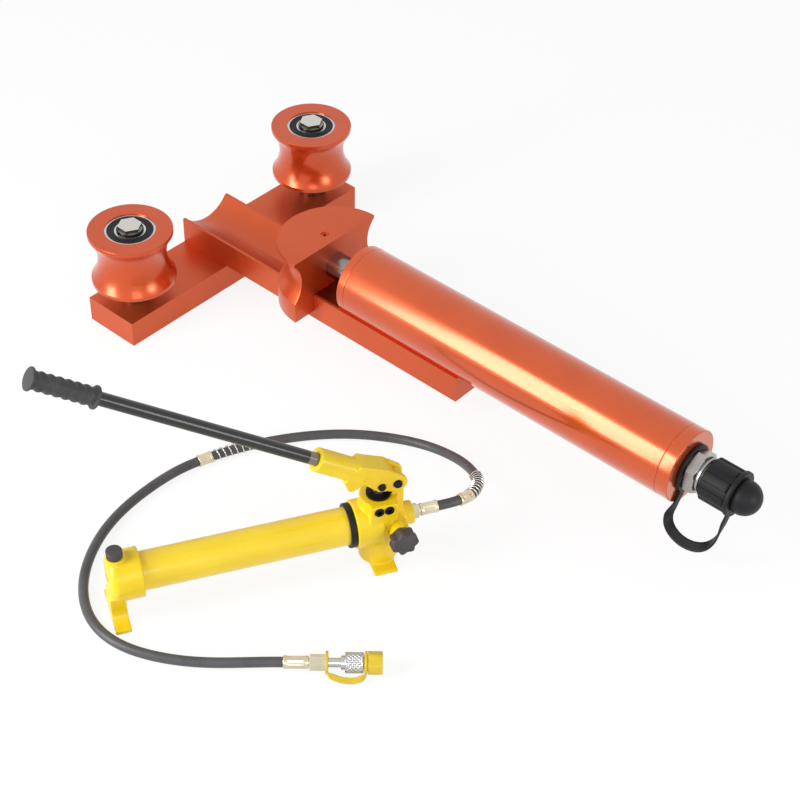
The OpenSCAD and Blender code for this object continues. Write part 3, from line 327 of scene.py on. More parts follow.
def srgb(red, green, blue):
    """A colour given as it shows, from 0 to 255, as linear light."""
    shown = np.array([red, green, blue]) / 255
    light = np.where(shown <= 0.04045, shown / 12.92, ((shown + 0.055) / 1.055) ** 2.4)
    return (*light.tolist(), 1)


def new_finish(name, **values):
    """A material of one Principled shader, with what is the same all over set on its own sockets."""
    finish = bpy.data.materials.new(name)
    finish.use_nodes = True
    shader = finish.node_tree.nodes["Principled BSDF"]
    for socket, value in values.items():
        shader.inputs[socket.replace("_", " ")].default_value = value
    return finish


def add_node(finish, kind, inputs=(), **settings):
    """A node with its inputs set to values or joined to other nodes' outputs."""
    tree = finish.node_tree
    node = tree.nodes.new(kind)
    for name, value in settings.items():
        setattr(node, name, value)
    for socket, value in dict(inputs).items():
        if isinstance(value, bpy.types.NodeSocket):
            tree.links.new(value, node.inputs[socket])
        else:
            node.inputs[socket].default_value = value
    return node


def joined(finish, output, socket):
    """Leads a node's output to a socket of the finish's shader."""
    finish.node_tree.links.new(output, finish.node_tree.nodes["Principled BSDF"].inputs[socket])


def grain(finish, scale, detail=3.0, stretch=(1, 1, 1)):
    """Noise in lumps per metre on the piece's own coordinates, drawn out where stretch is small."""
    spot = add_node(finish, "ShaderNodeTexCoord").outputs["Object"]
    spread = add_node(finish, "ShaderNodeMapping", {"Vector": spot, "Scale": stretch})
    noise = add_node(finish, "ShaderNodeTexNoise",
                     {"Vector": spread.outputs["Vector"], "Scale": scale, "Detail": detail})
    return noise.outputs["Fac"]


def colour_from(finish, share, low, high, start=NOISE_LOW, end=NOISE_HIGH):
    """Colours the shader from low to high as a share goes from start to end."""
    ramp = add_node(finish, "ShaderNodeValToRGB", {"Fac": share})
    for stop, (spot, colour) in zip(ramp.color_ramp.elements, [(start, low), (end, high)]):
        stop.position = spot
        stop.color = colour
    joined(finish, ramp.outputs["Color"], "Base Color")


def rough_from(finish, share, low, high):
    """Roughness from low to high as a share goes through its middle range."""
    spread = add_node(finish, "ShaderNodeMapRange", {"Value": share, "From Min": NOISE_LOW, "From Max": NOISE_HIGH,
                                                     "To Min": low, "To Max": high})
    joined(finish, spread.outputs["Result"], "Roughness")


def bump_from(finish, share, depth, strength=1.0):
    """Surface relief of a depth in metres from a share."""
    relief = add_node(finish, "ShaderNodeBump", {"Height": share, "Distance": depth, "Strength": strength})
    joined(finish, relief.outputs["Normal"], "Normal")


def anodised(name, stretch, rough, coat, coat_rough, tint=(206, 86, 40)):
    """Anodised aluminium: tinted metal under a thin clear skin, with faint tool lines and a faint cloud of tint."""
    finish = new_finish(name, Metallic=ANODISED_METAL, Coat_Weight=coat, Coat_Roughness=coat_rough)
    lines = grain(finish, ANODISED_GRAIN, 2, stretch)
    red, green, blue = tint
    colour_from(finish, grain(finish, ANODISED_CLOUD, 2), srgb(red - 4, green - 3, blue - 2),
                srgb(red + 4, green + 3, blue + 2))
    rough_from(finish, lines, rough * 0.9, rough * 1.12)
    bump_from(finish, lines, ANODISED_RELIEF)
    return finish


def metal(name, colour, rough, stretch=(1, 1, 1), depth=0.00004):
    """Bare or plated metal with tool lines drawn out along one direction."""
    finish = new_finish(name, Metallic=1.0)
    lines = grain(finish, METAL_GRAIN, 4, stretch)
    dark = tuple(METAL_SHADE * c for c in colour[:3]) + (1,)
    colour_from(finish, grain(finish, METAL_CLOUD, 4), dark, colour)
    rough_from(finish, lines, rough * 0.75, rough * 1.35)
    bump_from(finish, lines, depth)
    return finish


def metal_with_painted_top_light(name, face, side, rough):
    """Metal with painted light: faces that look up get a painted highlight and the sides painted shade, with the colour
    following how far a face looks up.
    """
    finish = new_finish(name, Metallic=1.0)
    normal = add_node(finish, "ShaderNodeTexCoord").outputs["Normal"]
    rise = add_node(finish, "ShaderNodeSeparateXYZ", {"Vector": normal}).outputs["Z"]
    colour_from(finish, rise, side, face, PAINTED_LIGHT_STARTS, PAINTED_LIGHT_ENDS)
    lines = grain(finish, METAL_GRAIN, 4)
    rough_from(finish, lines, rough * 0.75, rough * 1.35)
    bump_from(finish, lines, FACE_RELIEF)
    return finish


def painted(name, colour, shade, peel, coat=0.35, specular=0.5):
    """Gloss paint on cast or drawn metal: an even colour with a faint shade in it, and an orange-peel skin."""
    finish = new_finish(name, Coat_Weight=coat, Coat_Roughness=0.08, Specular_IOR_Level=specular)
    skin = grain(finish, peel, 3)
    colour_from(finish, grain(finish, PAINT_CLOUD, 3), shade, colour)
    rough_from(finish, skin, 0.26, 0.4)
    bump_from(finish, skin, PAINT_RELIEF, 0.5)
    return finish


def moulded(name, colour, rough, scale=2200, depth=0.00008, specular=0.4):
    """Rubber or plastic from a mould: a dull, fine-grained skin with a faint bloom."""
    finish = new_finish(name, Specular_IOR_Level=specular)
    skin = grain(finish, scale, 3)
    bloom = tuple(min(1, 1.35 * c + 0.004) for c in colour[:3]) + (1,)
    colour_from(finish, grain(finish, MOULD_CLOUD, 4), colour, bloom)
    rough_from(finish, skin, rough * 0.88, rough * 1.15)
    bump_from(finish, skin, depth, 0.6)
    return finish


def bare_to(finish, spot, reach, bare, paint):
    """Leaves the metal bare up to a reach along a place, and paints it beyond."""
    origin, axes = spot
    point = add_node(finish, "ShaderNodeTexCoord").outputs["Object"]
    along = add_node(finish, "ShaderNodeVectorMath", {0: point, 1: axes[0]}, operation="DOT_PRODUCT").outputs["Value"]
    edge = float(origin @ axes[0]) + reach
    share = add_node(finish, "ShaderNodeMapRange",
                     {"Value": along, "From Min": edge - PAINT_EDGE, "From Max": edge + PAINT_EDGE})
    colour_from(finish, share.outputs["Result"], bare, paint)


LEVER_BARE = 0.109
ALONG_X = (0.01, 1, 1)
ALONG_Y = (1, 0.01, 1)
ROUND_X = (1, 0.02, 0.02)
ROUND_Z = (0.02, 0.02, 1)
orange_bar = anodised("orange_bar", ALONG_Y, 0.36, 0.12, 0.3)
orange_beam = anodised("orange_beam", ALONG_X, 0.36, 0.12, 0.3)
orange_shoe = anodised("orange_shoe", ROUND_Z, 0.34, 0.12, 0.3)
orange_tube = anodised("orange_tube", ROUND_X, 0.2, 0.65, 0.14, (207, 84, 32))
orange_roller = anodised("orange_roller", ROUND_Z, 0.24, 0.35, 0.16, (205, 80, 34))
bearing_steel = metal("bearing_steel", srgb(205, 206, 208), 0.22, ROUND_Z)
# Pins and spacers: the bright tops are a painted highlight and the dark sides are painted shade
pin_steel = metal_with_painted_top_light("pin_steel", srgb(206, 203, 198), srgb(112, 106, 100), 0.32)
plain_steel = metal("plain_steel", srgb(176, 178, 181), 0.35)
chromed = metal("chromed", srgb(150, 151, 154), 0.18, ROUND_X)
nickel = metal("nickel", srgb(172, 170, 166), 0.22)
bright_plate = metal("bright_plate", srgb(196, 196, 195), 0.2, depth=0.00001)
black_oxide = metal("black_oxide", srgb(48, 46, 46), 0.4)
spring_wire = metal("spring_wire", srgb(226, 224, 220), 0.18, depth=0.00001)
zinc_yellow = metal("zinc_yellow", srgb(222, 212, 184), 0.26, depth=0.00001)
yellow_cast = painted("yellow_cast", srgb(249, 215, 28), srgb(241, 203, 20), 420, 0.2, 0.35)
yellow_tank = painted("yellow_tank", srgb(249, 216, 34), srgb(244, 208, 26), 260)
black_enamel = painted("black_enamel", srgb(26, 25, 26), srgb(20, 19, 20), 300, 0.5, 0.3)
bare_to(black_enamel, lever_line, LEVER_BARE, srgb(118, 113, 108), srgb(23, 22, 23))
black_rubber = moulded("black_rubber", srgb(17, 17, 20), 0.46, specular=0.25)
hose_rubber = moulded("hose_rubber", srgb(72, 71, 73), 0.38)
grip_rubber = moulded("grip_rubber", srgb(56, 54, 55), 0.5)
knob_plastic = moulded("knob_plastic", srgb(64, 58, 60), 0.5)
yellow_plastic = moulded("yellow_plastic", srgb(204, 176, 46), 0.36, 1500, 0.00004)


# Hose, on its route from the pump to the coupler, as it lies in the construction
HOSE_RADIUS = 0.0055
HOSE_ROUTE = np.array([[543, -170, 53], [543, -153, 50], [536, -137, 46], [525, -125, 41], [509, -115, 35],
                       [489, -106, 28], [464, -100, 20], [434, -98, 12], [402, -105, 7], [360, -129, 6],
                       [325, -161, 6], [294, -203, 7], [270, -248, 8], [254, -290, 8], [245, -322, 7], [243, -363, 6],
                       [246, -399, 6], [254, -434, 6], [270, -469, 6], [292, -500, 6], [321, -525, 6], [355, -539, 6],
                       [391, -539, 6], [427, -526, 6], [461, -505, 6], [487, -485, 8], [507, -469, 11]]) / 1000
HOSE_LEAVES_PUMP = 0.353
HOSE_RUNS_STRAIGHT = 0.016
COUPLER_BACK = 0.078
COUPLER_RUNS_STRAIGHT = 0.014
OUTLET_HEIGHT = 0.054
PIVOT_ALONG = 0.3035
pivot = np.array(joints["lever_swing"]["pos_m"], float)
pump_line = place(pivot - PIVOT_ALONG * pump_along - pivot[2] * UP, pump_along, UP)
hose_exit = moved(pump_line, [HOSE_LEAVES_PUMP, 0, OUTLET_HEIGHT])[0]
coupler_axis = straight(coupler_line)
ram_axis = straight(ram_line)
hose_end = moved(coupler_line, [-COUPLER_BACK, 0, 0])[0]
hose_path = spline([hose_exit, hose_exit + HOSE_RUNS_STRAIGHT * pump_along, *HOSE_ROUTE,
                    hose_end - COUPLER_RUNS_STRAIGHT * coupler_line[1][0], hose_end], 14)
hose_runs = np.append(0, np.cumsum(np.linalg.norm(np.diff(hose_path, axis=0), axis=1)))
hose_length = float(hose_runs[-1])


def along_hose(distance):
    """The hose's own line: the centre at a distance along it, a level side square to it, and the third direction."""
    def at(where):
        return np.stack([np.interp(where, hose_runs, hose_path[:, k]) for k in range(3)], axis=1)
    step = 0.002
    tangent = unit(at(np.clip(distance + step, 0, hose_length)) - at(np.clip(distance - step, 0, hose_length)))
    side = unit(np.cross(UP, tangent))
    return at(distance), side, np.cross(tangent, side)


hose = add_piece("hose_skin", [turned(along_hose, finely([[0, 0], [0, HOSE_RADIUS], [hose_length, HOSE_RADIUS],
                                                          [hose_length, 0]], 0.003), 28)],
                 "frame", hose_rubber, ["hose"])


# Guard springs and crimped ferrules on the hose
GUARD_START = 0.044
GUARD_LENGTH = 0.046
GUARD_TURNS = 9
FAR_GUARD_START = 0.402
FAR_GUARD_LENGTH = 0.044
FAR_GUARD_TURNS = 6
GUARD_WIRE = 0.0016
GUARD_ROOM = 0.0003
GUARD_RADIUS = HOSE_RADIUS + GUARD_WIRE / 2 + GUARD_ROOM
GUARD_FERRULE = 0.017
GUARD_GAP = 0.001
FERRULE_RADIUS = 0.007
PUMP_FERRULE = 0.020
COUPLER_FERRULE = 0.026
CRIMPS = 8
CRIMP_DEPTH = 0.0007
CRIMP_END = 0.12
CRIMP_RAMP = 14
FERRULE_BORE = 0.003
FERRULE_EASE = 0.0009
TOUCH = 0.00002


def wound(line, start, length, radius, turns, wire):
    """A round wire wound about a line."""
    path, out = helix(line, start, length, radius, turns)
    return swept(path, out, circle(wire / 2, 10))


def crimped(line, start, length, bore):
    """A ferrule: a tube with eased ends whose wall is pressed in by flats over its middle."""
    outline = rounded([(start, bore), (start, FERRULE_RADIUS, FERRULE_EASE),
                       (start + length, FERRULE_RADIUS, FERRULE_EASE), (start + length, bore)], closes=True)
    outline = finely_closed(outline, 0.0006)

    def pressed(distance, radius, angle):
        share = np.clip((distance - start) / length, 0, 1)
        middle = np.clip(np.minimum(share - CRIMP_END, 1 - CRIMP_END - share) * CRIMP_RAMP, 0, 1)
        flat = 0.5 + 0.5 * np.cos(CRIMPS * angle)
        return radius - CRIMP_DEPTH * middle * flat ** 0.6 * (radius > (bore + FERRULE_RADIUS) / 2)
    return turned(line, outline, 96, pressed, True)


guard_spring = add_piece("guard_spring_wire",
                         [wound(along_hose, GUARD_START, GUARD_LENGTH, GUARD_RADIUS, GUARD_TURNS, GUARD_WIRE)],
                         "frame", spring_wire, ["guard_spring"])
far_guard_spring = add_piece("far_guard_spring_wire",
                             [wound(along_hose, FAR_GUARD_START, FAR_GUARD_LENGTH, GUARD_RADIUS, FAR_GUARD_TURNS,
                                    GUARD_WIRE)],
                             "frame", spring_wire, ["far_guard_spring"])
guard_ferrules = add_piece("crimped_guard_ferrules",
                           [crimped(along_hose, start, GUARD_FERRULE, HOSE_RADIUS + TOUCH)
                            for start in (GUARD_START - GUARD_GAP - GUARD_FERRULE,
                                          FAR_GUARD_START + FAR_GUARD_LENGTH + GUARD_GAP)],
                           "frame", zinc_yellow, ["guard_ferrules"])
coupler_ferrule = add_piece("crimped_coupler_ferrule",
                            [crimped(coupler_axis, -COUPLER_BACK, COUPLER_FERRULE, FERRULE_BORE)],
                            "frame", zinc_yellow, ["coupler_end_ferrule"])
outlet_line = moved(pump_line, [0, 0, OUTLET_HEIGHT])
add_piece("crimped_pump_ferrule",
          [crimped(straight(outlet_line), HOSE_LEAVES_PUMP - PUMP_FERRULE, PUMP_FERRULE, FERRULE_BORE)],
          "frame", zinc_yellow, ["pump_end_ferrule"])


# Hose coupler: knurled sleeve, yellow plug cap and its tether
SLEEVE_START = -0.015
SLEEVE_LENGTH = 0.019
SLEEVE_RADIUS = 0.011
SLEEVE_BORE = 0.0078
KNURL_TEETH = 16
KNURL_PITCH = 0.0044
KNURL_DEPTH = 0.001
KNURL_END = 0.1
KNURL_RAMP = 30
KNURL_RINGS = 0.00022
CAP_START = 0.0044
CAP_COLLAR = 0.004
CAP_LENGTH = 0.019
CAP_FLATS = 0.022
CAP_PIN = 0.010
CAP_PIN_RADIUS = 0.006
CAP_COLLAR_RADIUS = 0.0085
CAP_CORNER_CUT = 0.0006
CAP_CORNER_FROM = 0.93
SLEEVE_FLANGE = 0.0012
SLEEVE_SHOULDER = 0.004
SLEEVE_WIRE = 0.0009
SLEEVE_TURNS = 4
SLEEVE_SPRING_RADIUS = 0.0085
TETHER_START = -0.035
TETHER_RING = 0.003
TETHER_RADIUS = 0.012
TETHER_BORE = 0.0051
TETHER_CAP_BORE = 0.0089
TETHER_SIDE_GAP = 0.0004
TETHER_BAND = (0.0034, 0.0022)
TETHER_VOXEL = 0.0004


def knurled_sleeve():
    """A ring whose wall carries crossed grooves: the radius drops where either of two slanted waves is low."""
    end = SLEEVE_START + SLEEVE_LENGTH
    outline = rounded([(SLEEVE_START, SLEEVE_BORE), (SLEEVE_START, SLEEVE_RADIUS, 0.001),
                       (end, SLEEVE_RADIUS, 0.001), (end, SLEEVE_BORE)], closes=True)
    outline = finely_closed(outline, KNURL_RINGS)

    def cut(distance, radius, angle):
        share = (distance - SLEEVE_START) / SLEEVE_LENGTH
        along = FULL_TURN * (distance - SLEEVE_START) / KNURL_PITCH
        band = np.clip(np.minimum(share - KNURL_END, 1 - KNURL_END - share) * KNURL_RAMP, 0, 1)
        cross = np.abs(np.sin((along + KNURL_TEETH * angle) / 2)) * np.abs(np.sin((along - KNURL_TEETH * angle) / 2))
        return radius - KNURL_DEPTH * band * (1 - cross ** 0.5) * (radius > SLEEVE_BORE + 0.001)
    return turned(coupler_axis, outline, KNURL_TEETH * 15, cut, True)


def plug_cap():
    """A pin, a collar and a hexagon whose corners are eased at its outer end."""
    end = CAP_START + CAP_LENGTH
    hexagon_start = CAP_START + CAP_COLLAR
    corner = CAP_FLATS / 2 / math.cos(FULL_TURN / 12)
    outline = rounded([(CAP_START - CAP_PIN, 0), (CAP_START - CAP_PIN, CAP_PIN_RADIUS, 0.001),
                       (CAP_START, CAP_PIN_RADIUS), (CAP_START, CAP_COLLAR_RADIUS, 0.0004),
                       (hexagon_start, CAP_COLLAR_RADIUS), (hexagon_start, corner, 0.0012), (end, corner, 0.0022),
                       (end, 0)])

    def flats(distance, radius, angle):
        limit = hexagon(angle, CAP_FLATS)
        soft = limit - CAP_CORNER_CUT * np.clip((limit / corner - CAP_CORNER_FROM) / (1 - CAP_CORNER_FROM), 0, 1) ** 2
        return np.where(distance > hexagon_start - HAIR, np.minimum(radius, soft), radius + 0 * angle)
    return turned(coupler_axis, finely(outline, 0.001), 144, flats)


def fuse(piece, voxel, passes):
    """Joins a piece's overlapping shells into one skin with eased inner corners."""
    remesh = piece.modifiers.new("one_skin", "REMESH")
    remesh.mode = "VOXEL"
    remesh.voxel_size = voxel
    remesh.use_smooth_shade = True
    smooth = piece.modifiers.new("eased", "SMOOTH")
    smooth.factor = 0.5
    smooth.iterations = passes
    return piece


def loop_ring(line, start, end, bore, radius, ease=0.0006):
    """A flat ring with eased edges."""
    outline = rounded([(start, bore, ease), (start, radius, ease), (end, radius, ease), (end, bore, ease)],
                      closes=True)
    return turned(line, outline, 72, None, True)


TETHER_REACH = CAP_START + CAP_COLLAR / 2 - TETHER_START - TETHER_RING / 2
TETHER_TILT = math.radians(62)
TETHER_SHARES = np.array([[0, 0.75], [0.02, 1], [0.15, 1.25], [0.38, 1.52], [0.65, 1.62], [0.88, 1.42], [0.99, 1.1],
                          [1, 0.82]])
tether_down = -math.cos(TETHER_TILT) * coupler_line[1][2] - math.sin(TETHER_TILT) * coupler_line[1][1]


def tether_band():
    """A round-edged band on a spline that drops from one ring, runs below the coupler and rises to the other.

    It is narrow at the rings and three times as wide between them.
    """
    start = coupler_line[0] + (TETHER_START + TETHER_RING / 2) * coupler_line[1][0]
    points = start + (np.outer(TETHER_SHARES[:, 0] * TETHER_REACH, coupler_line[1][0])
                      + np.outer(TETHER_SHARES[:, 1] * TETHER_RADIUS, tether_down))
    path = spline(points, 8)
    side = np.broadcast_to(np.cross(coupler_line[1][0], tether_down), path.shape)
    share = np.linspace(0, 1, len(path))
    wide = 1 + 2 * np.clip(np.minimum(share, 1 - share) * 6 - 0.6, 0, 1)
    return swept(path, side, round_band(*TETHER_BAND), wide)


def sleeve_spring():
    """A fine wire wound about the coupler's body, from its flange to the sleeve's shoulder."""
    start = SLEEVE_START + SLEEVE_FLANGE
    end = SLEEVE_START + SLEEVE_LENGTH - SLEEVE_SHOULDER
    spring = add_piece("wound_sleeve_spring",
                       [wound(coupler_axis, start + SLEEVE_WIRE, end - start - 2 * SLEEVE_WIRE,
                              SLEEVE_SPRING_RADIUS, SLEEVE_TURNS, SLEEVE_WIRE)],
                       "frame", plain_steel, ["coupler_spring"])
    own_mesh(spring)
    return spring


sleeve = add_piece("knurled_sleeve", [knurled_sleeve()], "coupler_sleeve", bright_plate,
                   ["coupler_sleeve"], 60)
cap = add_piece("yellow_plug_cap", [plug_cap()], "plug_cap", yellow_plastic, ["coupler_plug_cap"])
tether = fuse(add_piece("yellow_tether",
                        [loop_ring(coupler_axis, TETHER_START, TETHER_START + TETHER_RING, TETHER_BORE,
                                   TETHER_RADIUS),
                         loop_ring(coupler_axis, CAP_START + TETHER_SIDE_GAP,
                                   CAP_START + CAP_COLLAR - TETHER_SIDE_GAP, TETHER_CAP_BORE, TETHER_RADIUS),
                         tether_band()],
                        "frame", yellow_plastic, ["coupler_tether"]), TETHER_VOXEL, 4)
sleeve_spring()


# Cylinder and ram
TUBE_BORE = 0.032
ROD_RADIUS = 0.0165
ROD_ROOM = 0.0001
EDGE = 0.0008
WIDE_EDGE = 0.0012
CAP_DRILLED = 0.003
CAP_BORE = 0.01


def node_span(name):
    """Where a node of the head starts and ends along the ram, and its radius."""
    low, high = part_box(name)
    return low.x, high.x, (high.y - low.y) / 2


def turned_part(name, outline, node):
    """A turned piece along the ram in place of a node, from its outline with broken edges."""
    rings = finely_closed(rounded(outline, 4, True), 0.012)
    crisp(add_piece(name, [turned(ram_axis, rings, 160, None, True)], "frame", orange_tube,
                    [node]))


def cylinder():
    """The tube, its front gland and its rear cap, each with broken edges, so that their joints show as lines."""
    tube_start, tube_end, radius = node_span("cylinder_tube")
    gland_start, gland_end, _ = node_span("front_gland")
    cap_start, cap_end, _ = node_span("rear_cap")
    rod_bore = ROD_RADIUS + ROD_ROOM
    turned_part("cylinder_wall", [(tube_start, TUBE_BORE), (tube_start, radius, EDGE), (tube_end, radius, EDGE),
                                  (tube_end, TUBE_BORE)], "cylinder_tube")
    turned_part("turned_gland", [(gland_start, rod_bore, WIDE_EDGE), (gland_start, radius, EDGE),
                                 (tube_start, radius, EDGE), (tube_start, TUBE_BORE), (gland_end, TUBE_BORE),
                                 (gland_end, rod_bore)], "front_gland")
    turned_part("turned_cap", [(cap_start, CAP_DRILLED), (cap_start, TUBE_BORE), (tube_end, TUBE_BORE),
                               (tube_end, radius, EDGE), (cap_end, radius, WIDE_EDGE), (cap_end, CAP_BORE)], "rear_cap")


cylinder()


# Rollers
ROLLER_GROOVE = 0.010
ROLLER_RIM = 0.005
BEARING_RADIUS = 0.031
BEARING_WIDTH = 0.016
BEARING_SINK = 0.0015
SEAL_INNER = 0.0196
SEAL_OUTER = 0.0283
ROLLER_BORE = 0.0268
SEAL_THICK = 0.0014
SEAL_SINK = 0.0005
SEAL_GROOVE = 0.0005
SEAL_GROOVE_HALF = 0.001
SEAL_EASE = 0.0003
SEAT_EASE = 0.0006


def upright(name):
    """A line up a roller's pin."""
    return straight(place([*joints[name]["pos_m"][:2], 0], UP, [0, 1, 0]))


def roller(side):
    """A spool: plain rims, and between them a groove on one arc, with a bearing seat sunk into each face."""
    low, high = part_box(side + "_roller")
    radius = (high.x - low.x) / 2
    half = (high.z - low.z) / 2 - ROLLER_RIM
    arc = (half ** 2 + ROLLER_GROOVE ** 2) / (2 * ROLLER_GROOVE)
    reach = math.asin(half / arc)
    turn = np.linspace(-reach, reach, 40)
    middle = (low.z + high.z) / 2
    groove = np.stack([middle + arc * np.sin(turn), radius - ROLLER_GROOVE + arc - arc * np.cos(turn)], axis=1)
    seat = BEARING_SINK + BEARING_WIDTH
    foot = rounded([(low.z + seat, ROLLER_BORE), (low.z + seat, BEARING_RADIUS), (low.z, BEARING_RADIUS, SEAT_EASE),
                    (low.z, radius, EDGE), (low.z + ROLLER_RIM, radius)], 4)
    head = rounded([(high.z - ROLLER_RIM, radius), (high.z, radius, EDGE), (high.z, BEARING_RADIUS, SEAT_EASE),
                    (high.z - seat, BEARING_RADIUS), (high.z - seat, ROLLER_BORE)], 4)
    outline = np.concatenate([foot, groove[1:-1], head])
    crisp(add_piece(side + "_grooved_roller", [turned(upright(side + "_roller_spin"), outline, 160, None, True)],
                    side + "_roller_unit", orange_roller, [side + "_roller"], 28))
    seals(side, low.z, high.z)


def seals(side, bottom, top):
    """Four rubber shields, each a thin ring with a groove round its outer face."""
    line = upright(side + "_roller_spin")
    faces = [(bottom + BEARING_SINK, 1), (bottom + BEARING_SINK + BEARING_WIDTH, -1),
             (top - BEARING_SINK - BEARING_WIDTH, 1), (top - BEARING_SINK, -1)]
    middle = (SEAL_INNER + SEAL_OUTER) / 2
    rings = []
    for face, inward in faces:
        outer = face + inward * SEAL_SINK
        inner = outer + inward * SEAL_THICK
        outline = rounded([(inner, SEAL_INNER), (outer, SEAL_INNER, SEAL_EASE),
                           (outer, middle - SEAL_GROOVE_HALF, SEAL_EASE),
                           (outer + inward * SEAL_GROOVE, middle, SEAL_EASE),
                           (outer, middle + SEAL_GROOVE_HALF, SEAL_EASE), (outer, SEAL_OUTER, SEAL_EASE),
                           (inner, SEAL_OUTER)], 4, True)
        rings.append(turned(line, outline, 96, None, True))
    add_piece(side + "_rubber_shields", rings, side + "_roller_unit", black_rubber,
              [side + "_bearing_seals"])


roller("left")
roller("right")


# Coupler on the cylinder, dust cap and strap
COUPLER_FLATS = 0.045
COLLAR_RADIUS = 0.021
HEX_LENGTH = 0.013
HEX_TURNED = 0.0005
HEX_BEVEL = 0.0016
COLLAR_GROOVE = 0.0192
COLLAR_GROOVE_LENGTH = 0.0012
COLLAR_EASE = 0.0006
THREAD_LENGTH = 0.0158
THREAD_RADIUS = 0.0099
COLLAR_LENGTH = 0.004
RING_THICK = 0.005
RING_OUTER = 0.0285
CAP_RING_OUTER = 0.027
RING_EASE = 0.001
RUBBER_ROOM = 0.0004
TIP_ROOM = 0.0208
NECK_RADIUS = 0.015
SHANK_RADIUS = 0.017
SHANK_LENGTH = 0.016
TIP_RADIUS = 0.006
TIP_LENGTH = 0.020
CAP_GAP = 0.003
SKIRT_LENGTH = 0.033
SKIRT_RADIUS = 0.0239
RIB_HEIGHT = 0.0016
RIBS = 8
NECK_LENGTH = 0.006
DOME_RADIUS = 0.020
DOME_STEP = 0.005
head_end = node_span("rear_cap")[1]
hex_start = head_end + RING_THICK + RUBBER_ROOM
collar_start = hex_start + HEX_LENGTH
shank_start = collar_start + COLLAR_LENGTH
skirt_start = shank_start + CAP_GAP
skirt_end = skirt_start + SKIRT_LENGTH
dome_start = skirt_end + NECK_LENGTH


def head_coupler():
    """A thread, a hexagon with its corners turned away, a grooved collar, a shank and the plug tip."""
    corner = COUPLER_FLATS / 2 / math.cos(FULL_TURN / 12)
    turned_to = COUPLER_FLATS / 2 + HEX_TURNED
    grooved = collar_start + COLLAR_GROOVE_LENGTH
    thread_start = head_end - THREAD_LENGTH
    tip_start = shank_start + SHANK_LENGTH
    outline = rounded([(thread_start, 0), (thread_start, THREAD_RADIUS), (head_end, THREAD_RADIUS),
                       (head_end, NECK_RADIUS), (hex_start, NECK_RADIUS), (hex_start, turned_to),
                       (hex_start + HEX_BEVEL, corner), (collar_start - HEX_BEVEL, corner), (collar_start, turned_to),
                       (collar_start, COLLAR_GROOVE), (grooved, COLLAR_GROOVE), (grooved, COLLAR_RADIUS, COLLAR_EASE),
                       (shank_start, COLLAR_RADIUS, COLLAR_EASE), (shank_start, SHANK_RADIUS),
                       (tip_start, SHANK_RADIUS, 0.001), (tip_start, TIP_RADIUS),
                       (tip_start + TIP_LENGTH, TIP_RADIUS, 0.002), (tip_start + TIP_LENGTH, 0)], 4)

    def flats(distance, radius, angle):
        on_hexagon = (distance > hex_start - HAIR) & (distance < collar_start + HAIR)
        return np.where(on_hexagon, np.minimum(radius, hexagon(angle, COUPLER_FLATS)), radius + 0 * angle)
    return turned(ram_axis, finely(outline, 0.0008), 192, flats)


def dust_cap():
    """A hollow skirt with raised panels round it, a waist for the strap and a dome, all moulded in one."""
    inside = shank_start + SHANK_LENGTH + RUBBER_ROOM
    rise = np.linspace(0, math.pi / 2, 16)
    dome = np.stack([dome_start + DOME_STEP + DOME_RADIUS * np.sin(rise), DOME_RADIUS * np.cos(rise)], axis=1)
    tip_bore, bore = TIP_RADIUS + RUBBER_ROOM, SHANK_RADIUS + RUBBER_ROOM
    bottom = rounded([(inside + TIP_ROOM, 0), (inside + TIP_ROOM, tip_bore), (inside, tip_bore),
                      (inside, bore), (skirt_start, bore, 0.0006),
                      (skirt_start, SKIRT_RADIUS, 0.0008), (skirt_end, SKIRT_RADIUS, 0.0012),
                      (skirt_end, SHANK_RADIUS, 0.0006), (dome_start, SHANK_RADIUS, 0.0006),
                      (dome_start, DOME_RADIUS, 0.0008), (dome_start + DOME_STEP, DOME_RADIUS)], 5)

    def panels(distance, radius, angle):
        wave = np.cos(RIBS * angle)
        panel = np.clip(0.5 + wave * 4 + 0.8, 0, 1)
        ends = np.clip((distance - skirt_start) / 0.0012, 0, 1) * np.clip((skirt_end - distance) / 0.002, 0, 1)
        return radius + RIB_HEIGHT * panel * ends * (radius > SKIRT_RADIUS - 0.0015) * (distance < skirt_end)
    return turned(ram_axis, finely(np.concatenate([bottom, dome[1:]]), 0.001), 240, panels)


STRAP_TILT = math.radians(30)
STRAP_DROP = 0.078
STRAP_TWIST = math.radians(65)
STRAP_BAND = (0.012, 0.0026)
STRAP_VOXEL = 0.0007
STRAP_SHARES = np.array([[0, 0.28], [0, 0.6], [-0.07, 0.74], [0.02, 0.9], [0.3, 1], [0.62, 1], [0.88, 0.9], [1, 0.7],
                         [0.98, 0.5], [1, 0.3]])


def strap_band():
    """A round-edged band that drops from the ring at the cylinder, bends round and rises to the ring on the cap.

    Between its ends it is twisted about its own length, so that its broad side faces the front.
    """
    near = head_end + RING_THICK / 2
    far = skirt_end + NECK_LENGTH / 2
    down = np.array([0, -math.sin(STRAP_TILT), -math.cos(STRAP_TILT)])
    points = ram_line[0] + (np.outer(near + STRAP_SHARES[:, 0] * (far - near), ram_line[1][0])
                            + np.outer(STRAP_SHARES[:, 1] * STRAP_DROP, down))
    path = spline(points, 10)
    tangent = unit(np.gradient(path, axis=0))
    across = np.cross(ram_line[1][0], down)
    share = np.linspace(0, 1, len(path))
    twist = (STRAP_TWIST * np.clip(np.minimum(share, 1 - share) * 3.4 - 0.35, 0, 1))[:, None]
    side = np.cos(twist) * across + np.sin(twist) * np.cross(tangent, across)
    return swept(path, side, round_band(*STRAP_BAND))


